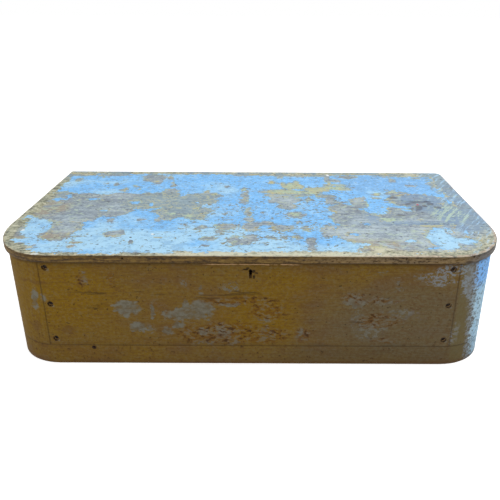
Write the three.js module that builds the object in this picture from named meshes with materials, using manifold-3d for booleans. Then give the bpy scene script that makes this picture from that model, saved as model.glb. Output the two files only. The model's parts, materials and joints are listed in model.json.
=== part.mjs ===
// A low sea chest with rounded front corners, an overhanging lid on two iron butt hinges,
// an iron chest lock behind the keyhole and a small open till at the left end.
// Millimetres. X runs along the chest, Y from front to back and Z up from the floor.
// The origin is at the floor, under the middle of the lid.
import * as THREE from 'three';
import { mergeVertices } from 'three/addons/utils/BufferGeometryUtils.js';
import Module from 'manifold-3d';

const wasm = await Module();
wasm.setup();

// Walls and base
const wallLength = 1186;
const wallDepth = 630;
const wallHeight = 233;
const baseHeight = 52;
const boardThickness = 22;
const cornerRadius = 123;
const seamInset = 105;
const postLap = 40;
const postTongue = 20;
const rearCleatWidth = 40;
const frontRailDepth = 140;
const railWidth = 45;
const floorThickness = 16;
const floorBearing = 20;
const floorBoardCount = 4;
const floorBoardGap = 0.6;
const bearerWidth = 45;
const bearerFloorGap = 8;
const bearerFromEnd = 360;

// Lid
const lidThickness = 19;
const lidSideOverhang = 17;
const lidFrontOverhang = 25;
const lidBackOverhang = 25;
const lidCornerLength = 149;
const lidCornerDepth = 192;
const lidWornCornerRadius = 20;
const lidSharpCornerRadius = 4;
const lidArris = 2.5;
const lidFirstJoint = 203;
const lidSecondJoint = 440;
const lidJointGap = 0.4;
const battenWidth = 50;
const battenThickness = 20;
const battenChamfer = 8;
const battenFrontInset = 53;
const battenBackInset = 45;
const battenFromEnd = 263;

// Hinges
const hingeLength = 76;
const hingeFromEnd = 133;
const leafOnBoard = 19;
const leafThickness = 2.2;
const knuckleRadius = 4.8;
const knuckleCount = 5;
const knuckleWallGap = 0.4;
const knuckleRecessGap = 0.9;
const hingePinRadius = 2.2;
const hingePinHeadRadius = 3.4;
const hingePinHeadLength = 1.6;
const hingeScrewSpacing = 25;
const hingeScrewStagger = 3;

// Lock
const keyholeFromMiddle = 3;
const keyPinBelowTop = 30;
const keyholeRadius = 4.2;
const keyholeSlotWidth = 6.6;
const keyholeSlotLength = 19;
const lockCaseLength = 90;
const lockCaseHeight = 54;
const lockCaseDepth = 16;
const lockCaseBelowTop = 3;
const lockSheet = 1.5;
const lockPlateLength = 116;
const lockPlateThickness = 2;
const keyPinRadius = 1.8;
const boltBelowTop = 13.5;
const boltHeight = 12;
const boltThickness = 5;
const boltTail = 36;
const boltShoulder = 10;
const boltTip = 22;
const boltTongueHeight = 7;
const boltThrow = 12;
const boltFromPlate = 4;
const boltStudRadius = 2;
const boltStudPlaces = [-18, 4];
const talonWidth = 12;
const talonDepth = 2.5;
const springThickness = 0.8;
const springWidth = 4;
const stapleFromKeyhole = 28;
const stapleThickness = 4;
const stapleDrop = 22;
const stapleLegWidth = 2.5;
const stapleEyeWidth = 6.4;
const stapleEyeHeight = 9;
const staplePlateLength = 60;
const staplePlateWidth = 20;
const staplePlateThickness = 2;
const stapleSlotGap = 1.6;

// Till
const tillWidth = 160;
const tillFrontThickness = 13;
const tillBottomThickness = 10;
const tillBottomHeight = 160;
const tillFrontBelowBottom = 10;
const tillTopGap = 13;
const tillGroove = 6;
const ledgerSize = 15;

// Screws: head radius, head depth, shank radius, length, depth of the head under the face,
// radius of the hole over the head, sides
const wallScrew = { head: 5.4, headDepth: 3.4, shank: 2.8, length: 29, sink: 7, bore: 6.4, sides: 12 };
const backScrew = { head: 4.6, headDepth: 3, shank: 2.6, length: 34, sink: 1, bore: 5, sides: 8 };
const battenScrew = { head: 4.2, headDepth: 2.8, shank: 2.3, length: 31, sink: 1, bore: 4.6, sides: 8 };
const hingeScrew = { head: 3.4, headDepth: 1.8, shank: 1.9, length: 16, sink: 0.1, bore: 3.7, sides: 8 };
const lockScrew = { head: 3.2, headDepth: 1.6, shank: 1.7, length: 15, sink: 0.1, bore: 3.5, sides: 8 };
const screwSlotWidth = 1.3;
const screwSlotDepth = 1.4;
const wallScrewFromSeam = 16;
const wallScrewBelowTop = 24;
const wallScrewAboveBase = 19;
const wallScrewRows = 3;

// Clearances
const fit = 0.3;
const pinFit = 0.1;
const overrun = 5;
const cornerSteps = 7;
const lidCornerSteps = 8;
const knuckleSteps = 7;

// Places worked out from the sizes above
const halfWall = wallLength / 2;
const lidFront = -(wallDepth + lidFrontOverhang + lidBackOverhang) / 2;
const lidBack = -lidFront;
const wallFront = lidFront + lidFrontOverhang;
const wallBack = wallFront + wallDepth;
const insideFront = wallFront + boardThickness;
const insideBack = wallBack - boardThickness;
const insideEnd = halfWall - boardThickness;
const wallTop = baseHeight + wallHeight;
const halfLid = halfWall + lidSideOverhang;
const seamX = halfWall - seamInset;
const seamY = wallFront + seamInset;
const floorUnderside = baseHeight - floorThickness;
const hingeY = wallBack + knuckleRadius + knuckleWallGap;
const sides = [['left', -1], ['right', 1]];

const ochrePaint = { color: 0x76592a, roughness: 0.62, metalness: 0 };
const bluePaint = { color: 0x8db9e2, roughness: 0.6, metalness: 0 };
const bareWood = { color: 0x8c7450, roughness: 0.8, metalness: 0 };
const blackIron = { color: 0x2d2a28, roughness: 0.55, metalness: 0.85 };

const chest = new THREE.Group();

function add(name, solid, finish) {
  const mesh = solid.getMesh();
  const geometry = new THREE.BufferGeometry();
  geometry.setAttribute('position', new THREE.BufferAttribute(mesh.vertProperties, 3));
  geometry.setIndex(new THREE.BufferAttribute(mesh.triVerts, 1));
  geometry.computeVertexNormals();
  const part = new THREE.Mesh(geometry, new THREE.MeshStandardMaterial(finish));
  part.name = name;
  chest.add(part);
}

function toSolid(geometry) {
  geometry.deleteAttribute('normal');
  geometry.deleteAttribute('uv');
  const merged = mergeVertices(geometry);
  const index = merged.index.array;
  const corners = [];
  for (let i = 0; i < index.length; i += 3) {
    const [a, b, c] = [index[i], index[i + 1], index[i + 2]];
    if (a !== b && b !== c && c !== a) corners.push(a, b, c);
  }
  return new wasm.Manifold(new wasm.Mesh({
    numProp: 3,
    vertProperties: new Float32Array(merged.attributes.position.array),
    triVerts: new Uint32Array(corners),
  }));
}

function joined(solids) {
  return solids.reduce((whole, piece) => whole.add(piece));
}

function cut(solid, cutters) {
  return cutters.reduce((rest, cutter) => rest.subtract(cutter), solid);
}

function block([x0, x1], [y0, y1], [z0, z1]) {
  const geometry = new THREE.BoxGeometry(x1 - x0, y1 - y0, z1 - z0);
  return toSolid(geometry.translate((x0 + x1) / 2, (y0 + y1) / 2, (z0 + z1) / 2));
}

// A range on the left or right side, lowest value first.
function mirrored(side, near, far) {
  return side > 0 ? [near, far] : [-far, -near];
}

function around(middle, half) {
  return [middle - half, middle + half];
}

function shapeOf(points) {
  return new THREE.Shape(points.map(([x, y]) => new THREE.Vector2(x, y)));
}

function extruded(shape, depth, steps) {
  return new THREE.ExtrudeGeometry(shape, { depth, bevelEnabled: false, curveSegments: steps });
}

// Plan shapes stand up along Z, front-view shapes run along Y, end-view shapes along X.
function upright(shape, [z0, z1], steps = cornerSteps) {
  return toSolid(extruded(shape, z1 - z0, steps).translate(0, 0, z0));
}

function fromFront(shape, [y0, y1], steps = cornerSteps) {
  return toSolid(extruded(shape, y1 - y0, steps).rotateX(Math.PI / 2).translate(0, y1, 0));
}

function fromEnd(shape, [x0, x1], steps = cornerSteps) {
  const geometry = extruded(shape, x1 - x0, steps).rotateX(Math.PI / 2).rotateZ(Math.PI / 2);
  return toSolid(geometry.translate(x0, 0, 0));
}

function disc(y, z, radius) {
  return new THREE.Shape().absarc(y, z, radius, 0, 2 * Math.PI, false);
}

// Screws point down -Z from the face they are driven into, which lies at Z = 0.
function turned(profile, steps) {
  const points = profile.map(([radius, height]) => new THREE.Vector2(radius, height));
  return toSolid(new THREE.LatheGeometry(points, steps).rotateX(Math.PI / 2));
}

function screw(kind) {
  const top = -kind.sink;
  const body = turned([
    [0, top - kind.length],
    [kind.shank, top - kind.headDepth],
    [kind.head, top],
    [0, top],
  ], kind.sides);
  const slot = [top - screwSlotDepth, top + overrun];
  return body.subtract(block(around(0, kind.head), around(0, screwSlotWidth / 2), slot));
}

function screwHole(kind) {
  const top = -kind.sink;
  return turned([
    [0, top - kind.length - fit],
    [kind.shank + fit, top - kind.headDepth - fit],
    [kind.bore, top - fit],
    [kind.bore, overrun],
    [0, overrun],
  ], kind.sides);
}

// Turns a screw or its hole so that the head faces along the given direction, at the given place.
function placed(solid, [x, y, z], facing) {
  const up = new THREE.Vector3(0, 0, 1);
  const turn = new THREE.Quaternion().setFromUnitVectors(up, new THREE.Vector3(...facing));
  const matrix = new THREE.Matrix4().makeRotationFromQuaternion(turn).setPosition(x, y, z);
  return solid.transform(matrix.toArray());
}

function screwHoles(kind, places, facing) {
  return places.map((place) => placed(screwHole(kind), place, facing));
}

function evenly(count, low, high) {
  return Array.from({ length: count }, (_, i) => low + ((high - low) * (i + 0.5)) / count);
}

// Plan outline with elliptical front corners and round back corners.
function planOutline({ half, front, back, cornerLength, cornerDepth, backLeft, backRight }) {
  const outline = new THREE.Shape();
  outline.moveTo(-half, back - backLeft);
  outline.lineTo(-half, front + cornerDepth);
  outline.absellipse(-half + cornerLength, front + cornerDepth, cornerLength, cornerDepth,
    Math.PI, 1.5 * Math.PI, false);
  outline.absellipse(half - cornerLength, front + cornerDepth, cornerLength, cornerDepth,
    1.5 * Math.PI, 2 * Math.PI, false);
  outline.lineTo(half, back - backRight);
  outline.absarc(half - backRight, back - backRight, backRight, 0, Math.PI / 2, false);
  outline.absarc(-half + backLeft, back - backLeft, backLeft, Math.PI / 2, Math.PI, false);
  return outline;
}

function wallPrism([z0, z1]) {
  const arcX = halfWall - cornerRadius;
  const arcY = wallFront + cornerRadius;
  const outline = new THREE.Shape();
  outline.moveTo(halfWall, wallBack);
  outline.lineTo(-halfWall, wallBack);
  outline.absarc(-arcX, arcY, cornerRadius, Math.PI, 1.5 * Math.PI, false);
  outline.absarc(arcX, arcY, cornerRadius, 1.5 * Math.PI, 2 * Math.PI, false);
  return upright(outline, [z0, z1]);
}

// The plan of a front corner post, set out from the corner of the walls and made larger by grow.
function postZone(side, grow) {
  const lapEnd = seamInset + postLap + grow;
  const tongueBack = boardThickness + postTongue + grow;
  const bevelEnd = seamInset + grow * (Math.SQRT2 - 1);
  const half = [
    [-overrun, seamInset],
    [boardThickness, seamInset],
    [boardThickness, lapEnd],
    [tongueBack, lapEnd],
    [tongueBack, bevelEnd],
  ];
  const outline = [[-overrun, -overrun], ...half, ...half.map(([u, v]) => [v, u]).reverse()];
  return shapeOf(outline.map(([u, v]) => [side * (halfWall - u), wallFront + v]));
}

const walls = [baseHeight, wallTop];
const wallRowSpan = wallHeight - wallScrewBelowTop - wallScrewAboveBase;
const wallRows = Array.from({ length: wallScrewRows }, (_, i) => (
  baseHeight + wallScrewAboveBase + (i * wallRowSpan) / (wallScrewRows - 1)
));

// Screws through the boards into the posts and cleats
const frontScrewX = seamX - wallScrewFromSeam;
const endScrewFrontY = seamY + wallScrewFromSeam;
const rearScrewY = insideBack - rearCleatWidth / 2;
const rearScrewX = insideEnd - rearCleatWidth / 2;

function rowsAt(x, y) {
  return wallRows.map((z) => [x, y, z]);
}

const frontHoles = sides.flatMap(([, side]) => (
  screwHoles(wallScrew, rowsAt(side * frontScrewX, wallFront), [0, -1, 0])
));
const backHoles = sides.flatMap(([, side]) => (
  screwHoles(backScrew, rowsAt(side * rearScrewX, wallBack), [0, 1, 0])
));
const endHoles = sides.flatMap(([, side]) => screwHoles(
  wallScrew,
  [...rowsAt(side * halfWall, endScrewFrontY), ...rowsAt(side * halfWall, rearScrewY)],
  [side, 0, 0],
));

// Keyhole and lock
const keyPinZ = wallTop - keyPinBelowTop;
const lockTop = wallTop - lockCaseBelowTop;
const lockBottom = lockTop - lockCaseHeight;
const plateBack = insideFront + lockPlateThickness;
const caseBack = plateBack + lockCaseDepth;
const boltZ = wallTop - boltBelowTop;
const boltFront = plateBack + boltFromPlate;
const stapleX = keyholeFromMiddle + stapleFromKeyhole;

function keyholeShape() {
  const half = keyholeSlotWidth / 2;
  const meet = Math.asin(half / keyholeRadius);
  const outline = new THREE.Shape();
  outline.moveTo(keyholeFromMiddle + half, keyPinZ - keyholeSlotLength);
  outline.lineTo(keyholeFromMiddle - half, keyPinZ - keyholeSlotLength);
  outline.absarc(keyholeFromMiddle, keyPinZ, keyholeRadius, 1.5 * Math.PI - meet, meet - Math.PI / 2, true);
  return outline;
}

const keyholeCut = fromFront(keyholeShape(), [wallFront - overrun, plateBack + overrun]);
const lockScrewInset = (lockPlateLength - lockCaseLength) / 4;
const lockScrewPlaces = [-1, 1].flatMap((side) => [lockTop, lockBottom].map((z, i) => [
  keyholeFromMiddle + side * (lockPlateLength / 2 - lockScrewInset),
  plateBack,
  z + (i === 0 ? -1 : 1) * lockCaseHeight / 5,
]));
const lockHoles = screwHoles(lockScrew, lockScrewPlaces, [0, 1, 0]);

const lockRise = [lockBottom, lockTop];

function lockPlate() {
  const plate = block(around(keyholeFromMiddle, lockPlateLength / 2), [insideFront, plateBack], lockRise);
  const studReach = [insideFront, boltFront + boltThickness + fit];
  const studs = boltStudPlaces.map((x) => (
    fromFront(disc(keyholeFromMiddle + x, boltZ, boltStudRadius), studReach)
  ));
  return cut(joined([plate, ...studs]), [keyholeCut, ...lockHoles]);
}

function lockCase() {
  const outer = block(around(keyholeFromMiddle, lockCaseLength / 2), [plateBack, caseBack], lockRise);
  const inner = block(
    around(keyholeFromMiddle, lockCaseLength / 2 - lockSheet),
    [plateBack - overrun, caseBack - lockSheet],
    [lockBottom + lockSheet, lockTop - lockSheet],
  );
  const slot = block(
    around(stapleX, stapleThickness / 2 + stapleSlotGap),
    [plateBack - overrun, caseBack - lockSheet],
    [lockTop - lockSheet - overrun, lockTop + overrun],
  );
  return cut(outer, [inner, slot]);
}

function lockBolt() {
  const x = (offset) => keyholeFromMiddle + offset;
  const tongue = boltTongueHeight / 2;
  const bar = shapeOf([
    [x(-boltTail), boltZ - boltHeight / 2],
    [x(-talonWidth / 2), boltZ - boltHeight / 2],
    [x(-talonWidth / 2), boltZ - boltHeight / 2 + talonDepth],
    [x(talonWidth / 2), boltZ - boltHeight / 2 + talonDepth],
    [x(talonWidth / 2), boltZ - boltHeight / 2],
    [x(boltShoulder), boltZ - boltHeight / 2],
    [x(boltShoulder), boltZ - tongue],
    [x(boltTip), boltZ - tongue],
    [x(boltTip), boltZ + tongue],
    [x(boltShoulder), boltZ + tongue],
    [x(boltShoulder), boltZ + boltHeight / 2],
    [x(-boltTail), boltZ + boltHeight / 2],
  ]);
  const slotHalf = boltStudRadius + fit;
  const slots = boltStudPlaces.map((place) => fromFront(shapeOf([
    [x(place - boltThrow - slotHalf), boltZ - slotHalf],
    [x(place + slotHalf), boltZ - slotHalf],
    [x(place + slotHalf), boltZ + slotHalf],
    [x(place - boltThrow - slotHalf), boltZ + slotHalf],
  ]), [boltFront - overrun, boltFront + boltThickness + overrun]));
  return cut(fromFront(bar, [boltFront, boltFront + boltThickness]), slots);
}

// A bowed leaf that bears on the bolt's upper edge, with its ends under the top of the case.
function lockSpring() {
  const low = boltZ + boltHeight / 2 + fit;
  const high = lockTop - lockSheet - fit;
  const rise = high - low - springThickness;
  const half = (boltTail + boltShoulder) / 2;
  const radius = (half * half + rise * rise) / (2 * rise);
  const reach = Math.asin(half / radius);
  const middle = keyholeFromMiddle + (boltShoulder - boltTail) / 2;
  const centre = low + radius + springThickness;
  const outline = new THREE.Shape();
  const ends = [1.5 * Math.PI - reach, 1.5 * Math.PI + reach];
  outline.absarc(middle, centre, radius, ends[0], ends[1], false);
  outline.absarc(middle, centre, radius + springThickness, ends[1], ends[0], true);
  const front = boltFront + (boltThickness - springWidth) / 2;
  return fromFront(outline, [front, front + springWidth]);
}

const stapleEyeZ = boltZ;
const stapleFront = boltFront + (boltThickness - stapleEyeWidth) / 2 - stapleLegWidth;
const stapleBack = stapleFront + stapleEyeWidth + 2 * stapleLegWidth;
const staplePlateY = [insideFront + fit, insideFront + fit + staplePlateWidth];
const stapleScrewPlaces = [-1, 1].map((side) => [
  stapleX + side * staplePlateLength / 3,
  insideFront + fit + staplePlateWidth / 2,
  wallTop - staplePlateThickness,
]);
const stapleHoles = screwHoles(lockScrew, stapleScrewPlaces, [0, 0, -1]);

function staple() {
  const plateRise = [wallTop - staplePlateThickness, wallTop];
  const plate = block(around(stapleX, staplePlateLength / 2), staplePlateY, plateRise);
  const radius = (stapleBack - stapleFront) / 2;
  const middle = (stapleFront + stapleBack) / 2;
  const outline = new THREE.Shape();
  outline.moveTo(stapleBack, wallTop - staplePlateThickness / 2);
  outline.lineTo(stapleFront, wallTop - staplePlateThickness / 2);
  outline.absarc(middle, wallTop - stapleDrop + radius, radius, Math.PI, 2 * Math.PI, false);
  const loop = fromEnd(outline, around(stapleX, stapleThickness / 2));
  const eye = block(
    around(stapleX, stapleThickness / 2 + overrun),
    around(middle, stapleEyeWidth / 2),
    around(stapleEyeZ, stapleEyeHeight / 2),
  );
  return cut(joined([plate, loop]), [eye, ...stapleHoles]);
}

// Till
const tillFrontX = -insideEnd + tillWidth;
const tillFrontRange = [tillFrontX, tillFrontX + tillFrontThickness];
const tillRise = [tillBottomHeight - tillFrontBelowBottom, wallTop - tillTopGap];
const tillGrooves = block(
  [tillFrontRange[0] - fit, tillFrontRange[1] + fit],
  [insideFront - tillGroove - fit, insideBack + tillGroove + fit],
  [tillRise[0], wallTop + overrun],
);
const tillBottomRise = [tillBottomHeight, tillBottomHeight + tillBottomThickness];

function rearCleatBox(side, grow) {
  return block(
    mirrored(side, insideEnd - rearCleatWidth - grow, insideEnd),
    [insideBack - rearCleatWidth - grow, insideBack],
    walls,
  );
}

function addTill() {
  const front = block(tillFrontRange, [insideFront - tillGroove, insideBack + tillGroove], tillRise);
  const bottomGroove = block(
    [tillFrontX - overrun, tillFrontX + tillGroove + fit],
    [insideFront - tillGroove - overrun, insideBack + tillGroove + overrun],
    [tillBottomRise[0], tillBottomRise[1] + fit],
  );
  add('till_front', front.subtract(bottomGroove), bareWood);
  const bottom = block([-insideEnd, tillFrontX + tillGroove], [insideFront, insideBack], tillBottomRise);
  const post = upright(postZone(-1, fit), walls);
  add('till_bottom', cut(bottom, [post, rearCleatBox(-1, fit)]), bareWood);
  const ledgerEnds = [seamY + postLap + fit, insideBack - rearCleatWidth - fit];
  add('till_ledger', block(
    [-insideEnd, -insideEnd + ledgerSize],
    ledgerEnds,
    [tillBottomHeight - ledgerSize, tillBottomHeight],
  ), bareWood);
}

// Hinges
const leafFront = wallBack - leafOnBoard;
const leafGap = fit / 2;
const screwYs = [-1, 1, -1].map((way) => leafFront + leafOnBoard / 2 + way * hingeScrewStagger / 2);

function hingeAt(side) {
  const middle = side * (halfWall - hingeFromEnd);
  const span = around(middle, hingeLength / 2);
  const knuckle = hingeLength / knuckleCount;
  const along = (i, gap) => [span[0] + i * knuckle + gap, span[0] + (i + 1) * knuckle - gap];
  const screwXs = [-1, 0, 1].map((step) => middle + step * hingeScrewSpacing);
  const lowerPlaces = screwXs.map((x, i) => [x, screwYs[i], wallTop - leafGap]);
  const upperPlaces = screwXs.map((x, i) => [x, screwYs[i], wallTop + leafGap]);
  const lowerHoles = screwHoles(hingeScrew, lowerPlaces, [0, 0, 1]);
  const upperHoles = screwHoles(hingeScrew, upperPlaces, [0, 0, -1]);
  const leaf = (own, rise, holes) => {
    const plate = block(span, [leafFront, hingeY], rise);
    const others = [];
    const knuckles = [];
    for (let i = 0; i < knuckleCount; i += 1) {
      if (i % 2 === own) {
        knuckles.push(fromEnd(disc(hingeY, wallTop, knuckleRadius), along(i, leafGap), knuckleSteps));
      } else {
        others.push(block(along(i, -leafGap), [wallBack, hingeY + overrun], [rise[0] - fit, rise[1] + fit]));
      }
    }
    const boreSpan = [span[0] - overrun, span[1] + overrun];
    const bore = fromEnd(disc(hingeY, wallTop, hingePinRadius + pinFit), boreSpan, knuckleSteps);
    return cut(joined([cut(plate, others), ...knuckles]), [bore, ...holes]);
  };
  const lowerRise = [wallTop - leafGap - leafThickness, wallTop - leafGap];
  const upperRise = [wallTop + leafGap, wallTop + leafGap + leafThickness];
  const pin = joined([
    fromEnd(disc(hingeY, wallTop, hingePinRadius), [span[0] - leafGap, span[1] + leafGap], knuckleSteps),
    ...[-1, 1].map((way) => fromEnd(
      disc(hingeY, wallTop, hingePinHeadRadius),
      around(middle + way * (hingeLength + fit + hingePinHeadLength) / 2, hingePinHeadLength / 2),
      knuckleSteps,
    )),
  ]);
  const mortiseSpan = [span[0] - fit, span[1] + fit];
  const boardRise = [lowerRise[0] - fit, wallTop + overrun];
  const boardMortise = block(mortiseSpan, [leafFront - fit, wallBack + overrun], boardRise);
  const lidMortise = block(mortiseSpan, [leafFront - fit, hingeY], [wallTop - overrun, upperRise[1] + fit]);
  const recessSpan = around(middle, hingeLength / 2 + hingePinHeadLength + 2 * fit);
  const recess = block(
    recessSpan,
    around(hingeY, knuckleRadius + knuckleRecessGap),
    [wallTop - overrun, wallTop + knuckleRadius + knuckleRecessGap],
  );
  return {
    lower: leaf(0, lowerRise, lowerHoles),
    upper: leaf(1, upperRise, upperHoles),
    pin,
    boardCuts: [boardMortise, ...lowerHoles],
    lidCuts: [lidMortise, recess, ...upperHoles],
  };
}

const hinges = Object.fromEntries(sides.map(([name, side]) => [name, hingeAt(side)]));

function addHinges() {
  for (const [name] of sides) {
    add(`${name}_hinge_lower_leaf`, hinges[name].lower, blackIron);
    add(`${name}_hinge_upper_leaf`, hinges[name].upper, blackIron);
    add(`${name}_hinge_pin`, hinges[name].pin, blackIron);
  }
}

// Base frame and floor
const base = [0, baseHeight];
const floorFront = wallFront + frontRailDepth - floorBearing;
const floorBack = wallBack - railWidth + floorBearing;
const floorEnd = halfWall - railWidth + floorBearing;
const floorSpan = [-floorEnd, floorEnd];
const floorSpace = block(floorSpan, [floorFront, floorBack], [floorUnderside, baseHeight + overrun]);

function addBase() {
  const frontRail = block(
    [-halfWall - overrun, halfWall + overrun],
    [wallFront - overrun, wallFront + frontRailDepth],
    base,
  );
  add('base_front_rail', wallPrism(base).intersect(frontRail).subtract(floorSpace), ochrePaint);
  const backRail = block([-halfWall, halfWall], [wallBack - railWidth, wallBack], base);
  add('base_back_rail', backRail.subtract(floorSpace), ochrePaint);
  for (const [name, side] of sides) {
    const rail = block(
      mirrored(side, halfWall - railWidth, halfWall),
      [wallFront + frontRailDepth, wallBack - railWidth],
      base,
    );
    add(`base_${name}_rail`, rail.subtract(floorSpace), ochrePaint);
    add(`floor_bearer_${name}`, block(
      around(side * (halfWall - bearerFromEnd), bearerWidth / 2),
      [wallFront + frontRailDepth, wallBack - railWidth],
      [bearerFloorGap, floorUnderside],
    ), bareWood);
  }
  const width = (floorBack - floorFront) / floorBoardCount;
  for (let i = 0; i < floorBoardCount; i += 1) {
    const front = floorFront + i * width + (i === 0 ? 0 : floorBoardGap / 2);
    const back = floorFront + (i + 1) * width - (i === floorBoardCount - 1 ? 0 : floorBoardGap / 2);
    add(`floor_board_${i + 1}`, block(floorSpan, [front, back], [floorUnderside, baseHeight]), bareWood);
  }
}

// Walls
function addWalls() {
  const solidWall = wallPrism(walls);
  const frontZone = block([-seamX, seamX], [wallFront - overrun, insideFront], walls);
  add('front_board', cut(solidWall.intersect(frontZone), [
    ...frontHoles, keyholeCut, ...lockHoles, tillGrooves,
  ]), ochrePaint);
  const back = block([-halfWall, halfWall], [insideBack, wallBack], walls);
  add('back_board', cut(back, [
    ...backHoles, tillGrooves, ...sides.flatMap(([name]) => hinges[name].boardCuts),
  ]), ochrePaint);
  for (const [name, side] of sides) {
    const end = block(mirrored(side, insideEnd, halfWall), [seamY, insideBack], walls);
    add(`${name}_end_board`, cut(end, endHoles), ochrePaint);
    const post = solidWall.intersect(upright(postZone(side, 0), walls));
    add(`${name}_corner_post`, cut(post, [...frontHoles, ...endHoles]), ochrePaint);
    add(`${name}_rear_cleat`, cut(rearCleatBox(side, 0), [...backHoles, ...endHoles]), bareWood);
    rowsAt(side * frontScrewX, wallFront).forEach((place, i) => {
      add(`front_screw_${name}_${i + 1}`, placed(screw(wallScrew), place, [0, -1, 0]), blackIron);
    });
  }
}

function addLock() {
  add('lock_plate', lockPlate(), blackIron);
  add('lock_case', lockCase(), blackIron);
  add('lock_bolt', lockBolt(), blackIron);
  add('lock_spring', lockSpring(), blackIron);
  add('lock_key_pin', fromFront(
    disc(keyholeFromMiddle, keyPinZ, keyPinRadius),
    [plateBack + fit, caseBack - lockSheet],
  ), blackIron);
  add('lock_staple', staple(), blackIron);
}

// Lid
const lidBoards = [
  ['lid_board_front', lidFront - overrun, lidFront + lidFirstJoint],
  ['lid_board_middle', lidFront + lidFirstJoint + lidJointGap, lidFront + lidSecondJoint],
  ['lid_board_back', lidFront + lidSecondJoint + lidJointGap, lidBack + overrun],
];
const battenEnds = [wallFront + battenFrontInset, wallBack - battenBackInset];
const battenX = halfWall - battenFromEnd;

const battenScrewYs = lidBoards.flatMap(([, front, back]) => (
  evenly(2, Math.max(front, battenEnds[0]), Math.min(back, battenEnds[1]))
));
const battenScrewPlaces = [-1, 1].flatMap((side) => battenScrewYs.map((y) => (
  [side * battenX, y, wallTop - battenThickness]
)));
const battenHoles = screwHoles(battenScrew, battenScrewPlaces, [0, 0, -1]);

function lidBlank() {
  const outline = planOutline({
    half: halfLid,
    front: lidFront,
    back: lidBack,
    cornerLength: lidCornerLength,
    cornerDepth: lidCornerDepth,
    backLeft: lidSharpCornerRadius,
    backRight: lidWornCornerRadius,
  });
  const geometry = new THREE.ExtrudeGeometry(outline, {
    depth: lidThickness - 2 * lidArris,
    bevelSize: lidArris,
    bevelOffset: -lidArris,
    bevelThickness: lidArris,
    bevelSegments: 2,
    curveSegments: lidCornerSteps,
  });
  return toSolid(geometry.translate(0, 0, wallTop + lidArris));
}

function batten(side) {
  const middle = side * battenX;
  const [front, back] = battenEnds;
  const low = wallTop - battenThickness;
  const outline = shapeOf([
    [front, wallTop],
    [front, low + battenChamfer],
    [front + battenChamfer, low],
    [back - battenChamfer, low],
    [back, low + battenChamfer],
    [back, wallTop],
  ]);
  return fromEnd(outline, around(middle, battenWidth / 2));
}

function addLid() {
  const blank = lidBlank();
  const cuts = [
    ...sides.flatMap(([name]) => hinges[name].lidCuts), ...battenHoles, ...stapleHoles,
  ];
  const span = [-halfLid - overrun, halfLid + overrun];
  const rise = [wallTop - overrun, wallTop + lidThickness + overrun];
  for (const [name, front, back] of lidBoards) {
    const zone = block(span, [front, back], rise);
    add(name, cut(blank.intersect(zone), cuts), bluePaint);
  }
  for (const [name, side] of sides) add(`lid_batten_${name}`, cut(batten(side), battenHoles), bareWood);
}

addBase();
addWalls();
addTill();
addHinges();
addLock();
addLid();

export default chest;
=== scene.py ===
import json
import math
from collections import namedtuple

import bmesh
import bpy
from mathutils import Matrix, Vector, noise

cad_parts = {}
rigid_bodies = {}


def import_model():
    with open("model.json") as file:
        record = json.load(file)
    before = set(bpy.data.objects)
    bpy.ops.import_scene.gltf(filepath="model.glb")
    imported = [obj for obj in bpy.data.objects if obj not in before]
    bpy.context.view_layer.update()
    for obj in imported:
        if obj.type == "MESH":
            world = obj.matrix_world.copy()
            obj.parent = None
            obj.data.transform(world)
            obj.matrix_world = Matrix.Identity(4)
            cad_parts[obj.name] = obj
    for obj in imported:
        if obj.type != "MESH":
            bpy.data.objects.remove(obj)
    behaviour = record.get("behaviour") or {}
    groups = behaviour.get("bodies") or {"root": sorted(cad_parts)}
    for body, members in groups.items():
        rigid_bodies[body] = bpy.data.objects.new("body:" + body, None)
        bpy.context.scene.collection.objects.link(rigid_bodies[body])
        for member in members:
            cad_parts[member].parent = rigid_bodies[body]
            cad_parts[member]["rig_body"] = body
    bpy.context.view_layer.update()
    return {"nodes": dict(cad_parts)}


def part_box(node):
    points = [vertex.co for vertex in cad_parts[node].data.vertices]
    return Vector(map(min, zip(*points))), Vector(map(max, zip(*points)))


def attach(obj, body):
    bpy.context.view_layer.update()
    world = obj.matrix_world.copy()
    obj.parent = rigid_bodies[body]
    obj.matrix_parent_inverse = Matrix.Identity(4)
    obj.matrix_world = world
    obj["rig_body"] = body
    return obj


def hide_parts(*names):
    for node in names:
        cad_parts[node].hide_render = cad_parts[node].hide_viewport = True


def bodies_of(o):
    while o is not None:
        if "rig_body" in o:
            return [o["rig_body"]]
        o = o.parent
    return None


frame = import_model()

# The camera, fitted to the photograph: millimetres, degrees, and pixels of its 500 x 500 frame
CAMERA_PLACE = (45.0, -1502.6, 828.9)
CAMERA_DOWN = 23.671
CAMERA_YAW = 0.130
CAMERA_ROLL = 0.330
IMAGE_SIZE = 500
FOCAL_PIXELS = 571.2
AXIS_PIXEL = 270
SENSOR_WIDTH = 36.0

# Light: for each lamp its place, its aim and the side of its square in metres, and its power in watts.
# The floor's size and its drop below the chest are metres as well
LAMPS = {
    "key_light": ((1.4, 1.2, 3.2), (0.0, 0.0, 0.2), 2.4, 56),
    "fill_light": ((-1.4, -3.0, 1.8), (0.0, 0.0, 0.1), 2.4, 44),
    "side_light": ((2.8, -0.6, 1.4), (0.4, 0.0, 0.15), 1.6, 14),
}
WORLD_STRENGTH = 0.55
FLOOR_GLOW = 0.6
FLOOR_SIZE = 60
FLOOR_DROP = 0.0005

MM = 0.001

def corners(node):
    """The lowest and highest corner of a CAD node, in millimetres."""
    return tuple(tuple(value / MM for value in corner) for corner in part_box(node))


def middle(node, axis):
    return (corners(node)[0][axis] + corners(node)[1][axis]) / 2


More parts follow.
